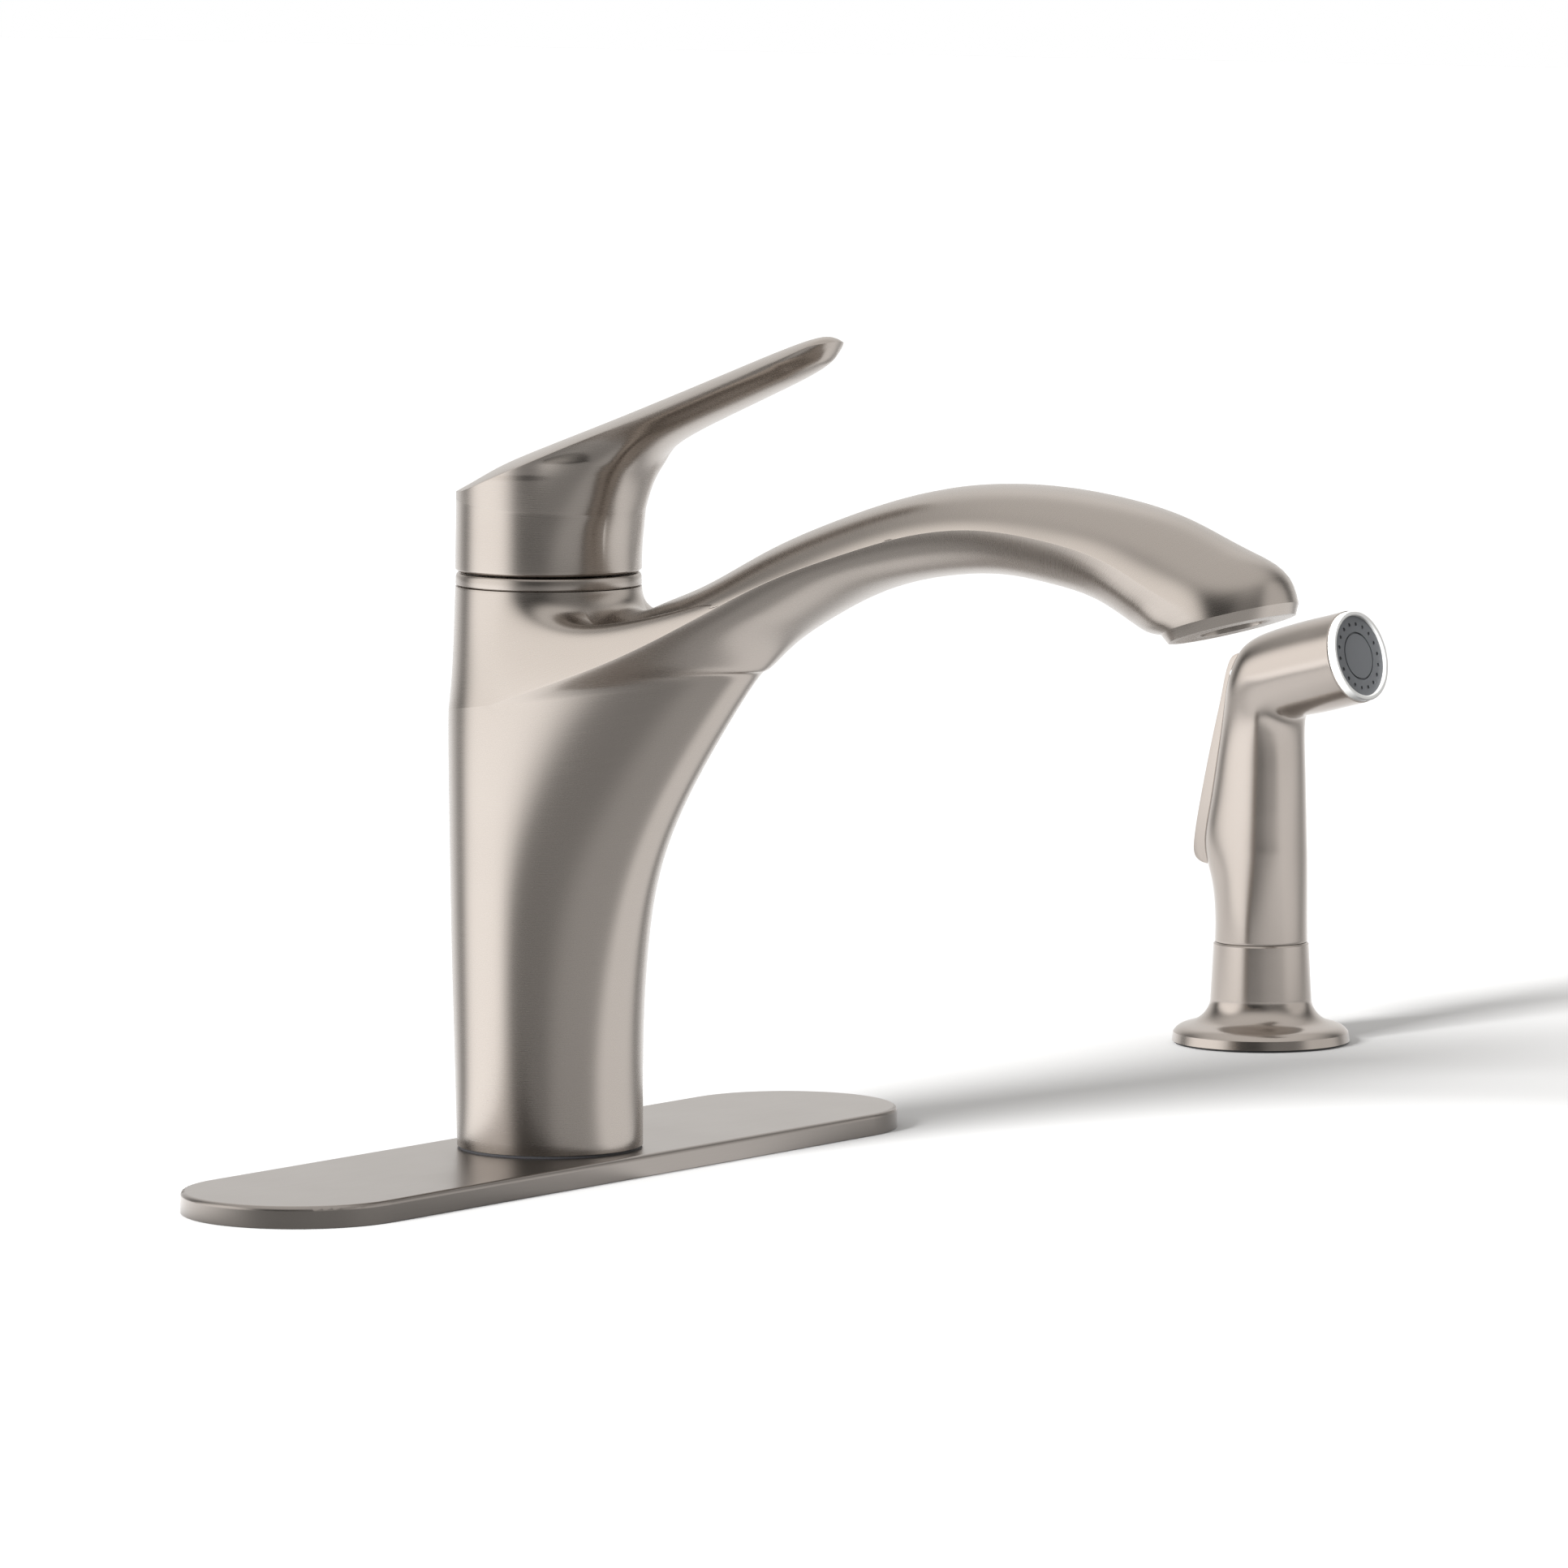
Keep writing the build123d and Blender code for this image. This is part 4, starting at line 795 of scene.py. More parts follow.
        def at(radius: float, depth: float) -> Array:
            """Half ring at a radius, a depth above the end face."""
            return centre - out * depth + spoke * radius

        skin.mirrored("lip", np.stack([lip_half, at(self.mouth_r, 0.0)]))
        rings = [at(r, 0.0) for r in np.linspace(self.mouth_r, self.aerator_r, 4)]
        skin.mirrored("mouth", np.stack(rings))
        bore = [at(self.aerator_r, d) for d in np.linspace(0.0, self.aerator_depth, 4)]
        skin.mirrored("aerator_bore", np.stack(bore))
        floor = [at(r, self.aerator_depth) for r in np.linspace(self.aerator_r, 0.0, 3)]
        skin.mirrored("aerator_floor", np.stack(floor))

    def inside(self, skin: Skin, foot_row: Array, top_row: Array) -> None:
        """Foot rim, top rim and the bore between them.

        The bore's rings have the azimuths of the foot's points at the foot and of the top
        ring's points at the top, so each end closes on its own rim.

        Args:
            skin: the shell that takes the surfaces.
            foot_row: half ring of the foot.
            top_row: half ring of the collar's top.
        """
        def circle(points: Array, z: float) -> Array:
            """The bore's half ring at a height, under or over the given points."""
            flat = unit(points * row(1.0, 1.0, 0.0)) * self.bore_r
            flat[..., 2] = z
            return flat

        foot_in = circle(foot_row, self.foot_z)
        skin.mirrored("foot_rim", np.stack([foot_row, foot_in]))
        skin.mirrored("bore", np.stack([foot_in, circle(foot_row, self.foot_z + self.bore_depth)]))
        middle = circle(foot_row, self.foot_z + self.bore_depth)
        floor = np.stack([middle, middle * row(0.0, 0.0, 1.0)])
        skin.mirrored("bore_floor", floor)
        top_in = circle(top_row, self.top_z)
        skin.mirrored("top_rim", np.stack([top_row, top_in]))
        low = circle(top_row, self.top_z - self.bore_depth)
        skin.mirrored("bore_top", np.stack([top_in, low]))
        skin.mirrored("bore_roof", np.stack([low, low * row(0.0, 0.0, 1.0)]))


# ================================================================ lever
@dataclass
class Lever:
    """The lever: a round cap under a slanted, crowned top that runs out into a blade.

    The wall is a family of rows from the rim to the middle of the front and under side. Each
    has a side face, a soft ridge and a front face. On the cap the side face is a cylinder.
    """

    cap_z: float = 155.0
    foot_r: float = 24.05
    cap_r: float = 23.8
    edge_chamfer: float = 0.8
    room_r: float = 21.0
    room_height: float = 13.5
    stem_room_r: float = 9.0
    stem_room_height: float = 21.0
    hinge_back: float = 17.6
    heel_angle: float = 19.0
    tip_reach: float = 93.0
    ridge_share: float = 0.58  # of a row's length from the rim to the under point
    side_points: int = 34
    face_points: int = 15
    # middle line of the top: reach, z, and the crown's drop k in z = middle - k x^2
    top_line: tuple = (
        (-23.8, 175.7, 0.0122), (-19.0, 178.0, 0.0122), (-14.0, 180.4, 0.0122),
        (-8.0, 183.3, 0.0120), (0.0, 186.4, 0.0112), (8.0, 189.3, 0.0120),
        (16.0, 192.2, 0.0141), (24.0, 195.1, 0.0168), (36.0, 199.5, 0.0210),
        (50.0, 204.7, 0.0267), (64.0, 209.9, 0.0320), (78.0, 215.0, 0.0360),
        (84.0, 217.0, 0.0370), (88.0, 218.1, 0.0400), (91.0, 218.2, 0.0480),
        (93.0, 217.2, 0.0600),
    )
    # half width of the top at a reach
    outline: tuple = (
        (0.0, 23.8), (6.0, 23.0), (12.0, 21.1), (18.0, 18.9), (24.0, 17.1), (32.0, 15.6),
        (46.0, 13.8), (60.0, 12.4), (72.0, 11.3), (80.0, 10.4),
    )
    # under line: reach of the rim point, then the under point as (reach, z)
    under: tuple = (
        (-23.8, 25.4, 170.6), (-18.0, 26.3, 173.4), (-8.0, 27.9, 177.5), (4.0, 30.6, 181.8),
        (16.0, 34.8, 185.9), (28.0, 41.2, 189.9), (42.0, 51.6, 194.7), (56.0, 63.6, 199.7),
        (70.0, 75.4, 204.6), (80.0, 83.6, 208.2), (87.0, 88.6, 211.0), (91.0, 91.3, 213.6),
        (93.0, 92.6, 216.2),
    )

    def half_width(self, reach: Array) -> Array:
        """Half width of the rim: a circle behind the axis, a spline along the blade and a
        rounded end w (1 - q^2.2)^(1/2) at the tip."""
        table = np.array(self.outline)
        circle = np.sqrt(np.maximum(self.cap_r**2 - reach**2, 0.0))
        last, width = table[-1]
        blade = spline(table[:, 0], table[:, 1:], np.clip(reach, 0.0, last))[:, 0]
        q = np.clip((reach - last) / (self.tip_reach - last), 0.0, 1.0)
        tip = width * np.sqrt(np.maximum(1.0 - q**2.2, 0.0))
        return np.where(reach < 0.0, circle, np.where(reach > last, tip, blade))

    def rim_reaches(self) -> Array:
        """Reaches of the rows along the rim, close together round both ends."""
        straight = self.outline[-1][0]
        back = -self.cap_r * np.cos(np.linspace(0.0, np.pi / 2, 22))
        middle = np.linspace(0.0, straight, 50)
        turn = np.sin(np.linspace(0.0, np.pi / 2, 20))
        tip = straight + (self.tip_reach - straight) * turn
        return np.concatenate([back, middle[1:], tip[1:]])

    def top(self, reach: Array, x: Array) -> Array:
        """Height of the crowned top: z = middle(reach) - k(reach) x^2."""
        table = np.array(self.top_line)
        line = spline(table[:, 0], table[:, 1:], reach.ravel()).reshape(*reach.shape, 2)
        return line[..., 0] - line[..., 1] * x**2

    def cap_row(self, w: Array, half: Array, reach: Array, rim_z: Array, foot: Array) -> Array:
        """Rows of the cap: an arc of constant radius from the rim that swings out to the
        ridge in its last 50 degrees, then a flat front face.

        Args:
            w: (n,) share of the row's length.
            half, reach, rim_z: (m,) rim points.
            foot: (m, 2) under points as (reach, z).

        Returns:
            (m, n, 3) points.
        """
        ridge = np.stack([np.full_like(half, 7.3), foot[:, 0] - 0.85], axis=-1)
        ridge_z = rim_z + (foot[:, 1] - rim_z) * 0.93
        r0, a0 = np.hypot(half, reach)[:, None], np.arctan2(half, reach)[:, None]
        r1 = np.hypot(ridge[:, 0], ridge[:, 1])[:, None]
        a1 = np.arctan2(ridge[:, 0], ridge[:, 1])[:, None]
        q = np.clip(w / self.ridge_share, 0.0, 1.0)[None, :]
        a = a0 + (a1 - a0) * q
        begin = np.clip(1.0 - np.radians(50.0) / np.maximum(a0 - a1, 0.01), 0.0, 0.99)
        swing = smooth_step((q - begin) / (1.0 - begin))
        r = r0 + (r1 - r0) * swing
        z = rim_z[:, None] + (ridge_z - rim_z)[:, None] * (1.0 - (1.0 - q) ** 1.6)
        side = space(r * np.sin(a), r * np.cos(a), z)
        u = np.clip((w - self.ridge_share) / (1.0 - self.ridge_share), 0.0, 1.0)
        face = bezier(
            [
                space(ridge[:, 0], ridge[:, 1], ridge_z),
                space(ridge[:, 0] * 0.68, ridge[:, 1] + 0.62, ridge_z),
                space(ridge[:, 0] * 0.34, foot[:, 0], foot[:, 1]),
                space(ridge[:, 0] * 0.0, foot[:, 0], foot[:, 1]),
            ], u)
        return np.where((w < self.ridge_share)[None, :, None], side, face)

    def blade_row(self, w: Array, half: Array, reach: Array, rim_z: Array, foot: Array) -> Array:
        """Rows of the blade: two Bezier arcs in shares of the half width and of the way down
        to the under point, joined at the soft ridge. Takes what cap_row takes."""
        q = np.clip(w / self.ridge_share, 0.0, 1.0)
        u = np.clip((w - self.ridge_share) / (1.0 - self.ridge_share), 0.0, 1.0)
        side = bezier([row(1.0, 0.0)[None], row(0.93, 0.26)[None], row(0.76, 0.44)[None],
                       row(0.60, 0.66)[None]], q)
        face = bezier([row(0.60, 0.66)[None], row(0.46, 0.86)[None], row(0.26, 1.0)[None],
                       row(0.0, 1.0)[None]], u)
        shape = np.where((w < self.ridge_share)[None, :, None], side, face)
        down = shape[..., 1]
        b_reach = reach[:, None] + (foot[:, :1] - reach[:, None]) * down
        b_z = rim_z[:, None] + (foot[:, 1:] - rim_z[:, None]) * down
        return space(half[:, None] * shape[..., 0], b_reach, b_z)

    def wall(self, reach: Array, w: Array) -> Array:
        """The wall from the rim (w = 0) to the under point (w = 1); cap rows turn into blade
        rows between 4 and 44 mm forward of the axis."""
        half = self.half_width(reach)
        table = np.array(self.under)
        foot = spline(table[:, 0], table[:, 1:], reach)
        rim_z = self.top(reach, half)
        cap = self.cap_row(w, half, reach, rim_z, foot)
        blade = self.blade_row(w, half, reach, rim_z, foot)
        mix = smooth_step((reach - 4.0) / 40.0)[:, None, None]
        rows = cap * (1.0 - mix) + blade * mix
        rows[:, -1, 0] = 0.0
        return rows

    def skin(self) -> bpy.types.Object:
        """Builds the lever.

        Returns:
            The new object.
        """
        skin = Skin("lever_shell")
        w = np.concatenate([
            np.linspace(0.0, self.ridge_share, self.side_points),
            np.linspace(self.ridge_share, 1.0, self.face_points)[1:],
        ])
        reaches = self.rim_reaches()
        wall = self.wall(reaches, w)
        ridge = wall[0, self.side_points - 1]
        first_ridge = np.arctan2(ridge[0], -ridge[1])
        side_turn = np.pi + (first_ridge - np.pi) * w / self.ridge_share
        face_turn = first_ridge * (1.0 - w) / (1.0 - self.ridge_share)
        turn = np.where(w < self.ridge_share, side_turn, face_turn)
        foot_z = self.cap_z + self.edge_chamfer
        foot_reach = self.foot_r * np.cos(turn)
        first = space(self.foot_r * np.sin(turn), foot_reach, foot_z + self.heel(foot_reach))
        first[:, 0] = np.where((w == 0.0) | (w == 1.0), 0.0, first[:, 0])
        rise = (wall[0, :, 2] - first[:, 2])[:, None]
        up = row(0.0, 0.0, 1.0)[None]
        lean = smooth_step((w - 0.36) / 0.3)[:, None]
        arrive = unit(up * (1.0 - lean) + unit(wall[2] - wall[0]) * lean)
        arrive[:, 0] = np.where(w == 1.0, 0.0, arrive[:, 0])
        cap = hermite(first, wall[0], up * rise, arrive * rise, np.linspace(0.0, 1.0, 22))
        skin.mirrored("wall", np.concatenate([cap, wall[1:]]))
        self.crown(skin, reaches, wall[:, 0])
        self.room(skin, first, turn)
        return skin.build([("top", "wall", 0.5), ("foot", "wall", 0.15)])

    def crown(self, skin: Skin, reaches: Array, rim: Array) -> None:
        """The top between the rim and the middle line."""
        q = np.linspace(1.0, 0.0, 16)[None, :]
        x = self.half_width(reaches)[:, None] * q
        reach = reaches[:, None] + 0.0 * q
        top = space(x, reach, self.top(reach, x))
        top[:, 0] = rim
        skin.mirrored("top", top)

    def heel(self, reach: Array) -> Array:
        """Relief of the foot: behind the hinge it rises by tan(heel angle) per millimetre."""
        return np.maximum(-reach - self.hinge_back, 0.0) * np.tan(np.radians(self.heel_angle))

    def room(self, skin: Skin, first: Array, turn: Array) -> None:
        """Chamfered foot, the room for the cartridge in it and a higher one for the stem.

        Args:
            skin: the shell that takes the surfaces.
            first: half ring that the wall starts from.
            turn: azimuth of each of its points.
        """
        def level_ring(radius: float, z: float) -> Array:
            """Half ring that is lifted behind the hinge."""
            reach = radius * np.cos(turn)
            x = np.where(first[:, 0] == 0.0, 0.0, radius * np.sin(turn))
            return space(x, reach, z + self.heel(reach))

        low = level_ring(self.foot_r - self.edge_chamfer, self.cap_z)
        inner = level_ring(self.room_r, self.cap_z)
        roof = space(inner[:, 0], -inner[:, 1], self.cap_z + self.room_height)
        skin.mirrored("foot", np.stack([first, low, inner]))
        share = self.stem_room_r / self.room_r
        step = roof * row(share, share, 1.0)
        high = step + row(0.0, 0.0, self.stem_room_height - self.room_height)
        skin.mirrored("room", np.stack([inner, roof, step]))
        skin.mirrored("room", np.stack([step, high, high * row(0.0, 0.0, 1.0)]))


# ================================================================ side spray
@dataclass
class Handset:
    """The spray's grip and barrel: one swept shell with a pocket for the trigger.

    A station is a plane section through its back or top point and its front or under point,
    both as (reach, height above the handset's foot).
    """

    x: float = 323.0
    foot_z: float = 28.85
    stations: tuple = (
        ((-13.2, 0.0), (13.2, 0.0), 13.2, 0.0),
        ((-13.1, 8.0), (12.95, 8.0), 13.05, 0.15),
        ((-14.6, 18.0), (12.6, 17.5), 12.7, 0.6),
        ((-17.2, 27.5), (12.3, 26.5), 12.4, 1.0),
        ((-15.6, 39.0), (12.0, 38.0), 12.0, 1.0),
        ((-13.2, 52.0), (11.6, 49.5), 11.6, 1.0),
        ((-11.0, 64.5), (11.2, 59.0), 11.4, 1.0),
        ((-9.0, 75.5), (11.5, 63.4), 11.9, 0.8),
        ((-5.2, 83.6), (13.0, 64.9), 12.6, 0.5),
        ((2.0, 88.4), (16.0, 65.7), 13.05, 0.2),
        ((15.0, 92.45), (21.5, 66.85), 13.2, 0.0),
        ((22.0, 94.2), (28.5, 68.6), 13.2, 0.0),
        ((28.56, 95.90), (35.04, 70.30), 13.2, 0.0),
    )
    pocket_half: float = 6.3
    pocket_rows: tuple = (0.74, 6.62)  # stations between which the pocket is open
    pocket_floor: tuple = (
        (20.2, -9.2), (26.0, -8.9), (45.0, -6.4), (74.5, -1.2), (79.8, -1.2), (83.4, -3.6),
    )
    barrel_bore_r: float = 11.0
    barrel_bore: float = 5.0
    channel_r: float = 9.6
    floor_points: int = 7
    wall_points: int = 3
    outside_points: int = 15
    fine_points: int = 241

    def section(self, at: Array) -> tuple[Array, ...]:
        """Back and front points, half widths and squareness at parameters 0 .. n - 1."""
        knots = np.arange(len(self.stations), dtype=float)
        table = np.array([[*b, *f, half, square] for b, f, half, square in self.stations])
        values = spline(knots, table, at)
        back = values[:, 0:2] + row(0.0, self.foot_z)
        front = values[:, 2:4] + row(0.0, self.foot_z)
        return back, front, values[:, 4], np.clip(values[:, 5], 0.0, 1.0)

    def quarter(self, back: Array, front: Array, half: Array, square: Array, forward: bool,
                t: Array) -> Array:
        """Quarter section from the side (t = 0) to the front or back point (t = 1).

        The front quarter's handles grow with squareness, which gives the grip its flatter
        face with a soft corner at each side.

        Args:
            back, front: (m, 2) points of the sections.
            half: (m,) half widths.
            square: (m,) squareness from 0 to 1.
            forward: the front quarter, or else the back one.
            t: (n,) parameters.

        Returns:
            (m, n, 3) points.
        """
        middle = (back + front) / 2.0
        end = front if forward else back
        way = end - middle
        zero = np.zeros_like(half)
        side_pull = CIRCLE_PULL + (0.10 * square if forward else 0.0 * square)
        end_pull = CIRCLE_PULL + (0.22 * square if forward else 0.05 * square)
        b = middle + way * side_pull[:, None]
        return bezier(
            [
                space(half, middle[:, 0], middle[:, 1]),
                space(half, b[:, 0], b[:, 1]),
                space(half * end_pull, end[:, 0], end[:, 1]),
                space(zero, end[:, 0], end[:, 1]),
            ], t)

    def back_quarter(self, at: Array) -> Array:
        """Back half-section from the back point to the side, with the pocket's floor and wall.

        Columns run across the floor, up the wall and round the outside. Where there is no
        pocket, the floor's columns lie on the outside and the wall has no height.

        Args:
            at: (m,) parameters along the stations.

        Returns:
            (m, n, 3) points.
        """
        back, front, half, square = self.section(at)
        last = self.fine_points - 1
        fine = np.linspace(0.0, 1.0, self.fine_points)
        outside = self.quarter(back, front, half, square, False, fine)
        edge = np.argmin(np.abs(outside[..., 0] - self.pocket_half), axis=1)
        rows = np.arange(len(at))
        share = np.linspace(0.0, 1.0, self.outside_points)[None, :]
        index = np.rint(edge[:, None] * (1.0 - share)).astype(int)
        round_part = outside[rows[:, None], index]
        across = np.linspace(0.0, 1.0, self.floor_points)[None, :]
        index = np.rint(last + (edge[:, None] - last) * across)
        floor_part = outside[rows[:, None], index.astype(int)]
        floor_part[..., 0] = np.linspace(0.0, self.pocket_half, self.floor_points)[None, :]
        round_part[:, 0, 0] = self.pocket_half
        floor_part[:, -1] = round_part[:, 0]
        low, high = self.pocket_rows
        depth = np.array(self.pocket_floor)
        tall = floor_part[..., 2] - self.foot_z
        floor_reach = np.interp(tall, depth[:, 0], depth[:, 1])
        opened = ((at >= low) & (at <= high))[:, None]
        level = np.where(opened, -floor_reach, floor_part[..., 1])
        sunk = floor_part.copy()
        sunk[..., 1] = np.minimum(level, floor_part[..., 1])
        wall_share = np.linspace(0.0, 1.0, self.wall_points + 2)[1:-1][None, :, None]
        wall_part = sunk[:, -1:] + (round_part[:, :1] - sunk[:, -1:]) * wall_share
        return np.concatenate([sunk, wall_part, round_part], axis=1)

    def skin(self) -> bpy.types.Object:
        """Builds the shell.

        Returns:
            The new object.
        """
        skin = Skin("handset_shell")
        count = len(self.stations) - 1
        low, high = self.pocket_rows
        tiny = 1e-5
        at = np.concatenate([
            np.linspace(0.0, low - tiny, 8), np.linspace(low, high, 70),
            np.linspace(high + tiny, count, 60),
        ])
        back_half = self.back_quarter(at)
        back, front, half, square = self.section(at)
        t = np.linspace(0.0, 1.0, 24)
        front_half = self.quarter(back, front, half, square, True, t)
        front_half[:, 0] = back_half[:, -1]
        whole = np.concatenate([back_half, front_half[:, 1:]], axis=1)
        whole[..., 0] += self.x
        names = ("floor", "wall", "grip")
        floor_end = self.floor_points
        wall_end = floor_end + self.wall_points
        spans = (slice(0, floor_end), slice(floor_end - 1, wall_end + 1), slice(wall_end, None))
        for name, span in zip(names, spans):
            skin.mirrored(name, whole[:, span], self.x)
        self.ends(skin, whole)
        return skin.build([
            ("wall", "grip", 0.4), ("foot", "grip", 0.3), ("nose", "grip", 0.3),
            ("floor", "wall", 0.0), ("foot", "channel", 0.0), ("nose", "bore", 0.0),
        ])

    def ends(self, skin: Skin, whole: Array) -> None:
        """Foot with the tail's channel, and nose with the head's bore, as shrinking rings.

        Args:
            skin: the shell that takes the surfaces.
            whole: (m, n, 3) points of the right-hand half, from the foot to the nose.
        """
        for name, inner, rim, radius, depth in (
            ("foot", "channel", whole[0], self.channel_r, 7.9),
            ("nose", "bore", whole[-1], self.barrel_bore_r, self.barrel_bore),
        ):
            centre = (rim[0] + rim[-1]) / 2.0
            further = whole[3 if name == "foot" else -4]
            inwards = unit((further[0] + further[-1]) / 2.0 - centre)
            square = unit(np.cross(rim[0] - centre, rim[30] - centre))
            away = square * np.sign(np.sum(square * inwards))
            spoke = unit(rim - centre)
            mouth = centre + spoke * radius
            end = mouth + away * depth
            skin.mirrored(name, np.stack([rim, mouth]), self.x)
            skin.mirrored(inner, np.stack([mouth, end]), self.x)
            skin.mirrored(inner, np.stack([end, np.broadcast_to(centre + away * depth,
                                                                end.shape)]), self.x)


@dataclass
class Trigger:
    """The spray's trigger: a long strip on the back of the grip with rounded edges."""

    x: float = 323.0
    foot_z: float = 28.85
    half: float = 6.0
    crown: float = 1.1
    # back and inner points in side view as (reach, height above the handset's foot)
    rows: tuple = (
        ((-5.4, 82.6), (-2.8, 79.8)), ((-7.0, 81.9), (-2.6, 78.6)), ((-8.9, 79.0), (-2.5, 76.6)),
        ((-10.9, 71.3), (-3.7, 70.0)), ((-13.2, 62.0), (-5.6, 61.0)),
        ((-16.2, 49.5), (-8.6, 48.0)), ((-18.6, 38.5), (-11.0, 37.0)),
        ((-20.3, 29.0), (-13.0, 28.5)), ((-20.5, 26.0), (-13.3, 26.0)),
        ((-19.9, 23.7), (-13.4, 24.2)), ((-18.0, 22.3), (-13.4, 22.9)),
        ((-15.5, 21.8), (-13.4, 22.0)),
    )

    def skin(self) -> bpy.types.Object:
        """Builds the strip: a tube of four faces along the rows, closed at both ends.

        The back face is crowned: reach = edge - crown (1 - q^2) over q from -1 to 1.

        Returns:
            The new object.
        """
        table = np.array([[*back, *inner] for back, inner in self.rows])
        knots = chord_lengths(table[:, :2])
        at = np.linspace(0.0, knots[-1], 90)
        line = spline(knots, table, at)
        back, inner = line[:, None, :2], line[:, None, 2:]
        q = np.linspace(1.0, 0.0, 9)[None, :]
        w = np.linspace(0.0, 1.0, 5)[None, :]
        back_x = self.half * q + 0.0 * at[:, None]
        crown = self.crown * (q**2)
        back_face = space(self.x + back_x, back[..., 0] + crown, back[..., 1] + self.foot_z)
        edge = (back_face[:, 0][:, None], space(self.x + self.half + 0.0 * at, inner[:, 0, 0],
                                                inner[:, 0, 1] + self.foot_z)[:, None])
        side_face = edge[0] * (1.0 - w[..., None]) + edge[1] * w[..., None]
        front_x = self.half * q + 0.0 * at[:, None]
        front_face = space(self.x + front_x, inner[..., 0] + 0.0 * q,
                           inner[..., 1] + self.foot_z + 0.0 * q)
        skin = Skin("trigger_strip")
        skin.mirrored("back", back_face, self.x)
        skin.mirrored("side", side_face, self.x)
        skin.mirrored("inner", front_face, self.x)
        for end in (0, -1):
            share = w[0][:, None, None]
            cap = back_face[end] * (1.0 - share) + front_face[end] * share
            skin.mirrored("cap", cap, self.x)
        return skin.build([("back", "side", 0.8), ("cap", "back", 0.5), ("cap", "side", 0.4)])


def turned(name: str, profiles: dict[str, list[tuple[float, float]]],
           sharp: list[tuple[str, str, float]], x: float = 0.0) -> bpy.types.Object:
    """A turned piece: each profile of (radius, z) is carried round the vertical axis at x.

    Args:
        name: the object's name.
        profiles: surfaces in order, each starting where the last one ends.
        sharp: as in Skin.build.
    """
    skin = Skin(name)
    for surface, profile in profiles.items():
        rings = [ring(radius, z, 128) for radius, z in profile]
        skin.grid(surface, np.stack(rings) + row(x, 0.0, 0.0))
    return skin.build(sharp)


@dataclass
class TrimRing:
    """Ring between the body and the lever, with a dark joint at its foot and its top."""

    foot_z: float = 151.35
    top_z: float = 154.70
    outer_r: float = 24.0
    inner_r: float = 17.35
    joint: float = 0.35

    def skin(self) -> bpy.types.Object:
        """Builds the ring, stepped in at the foot and tapered at the top."""
        j = self.joint
        return turned("trim_band", {
            "under": [(self.inner_r, self.foot_z), (self.outer_r - 2.0 * j, self.foot_z),
                      (self.outer_r - 2.0 * j, self.foot_z + j)],
            "edge": [(self.outer_r - 2.0 * j, self.foot_z + j),
                     (self.outer_r, self.foot_z + j)],
            "band": [(self.outer_r, self.foot_z + j), (self.outer_r - 0.05, self.top_z - 0.9),
                     (self.outer_r - 0.35, self.top_z)],
            "top": [(self.outer_r - 0.35, self.top_z), (self.inner_r, self.top_z)],
            "bore": [(self.inner_r, self.top_z), (self.inner_r, self.foot_z)],
        }, [("edge", "band", 0.2), ("band", "top", 0.4), ("under", "edge", 0.0),
            ("top", "bore", 0.0), ("bore", "under", 0.0)])


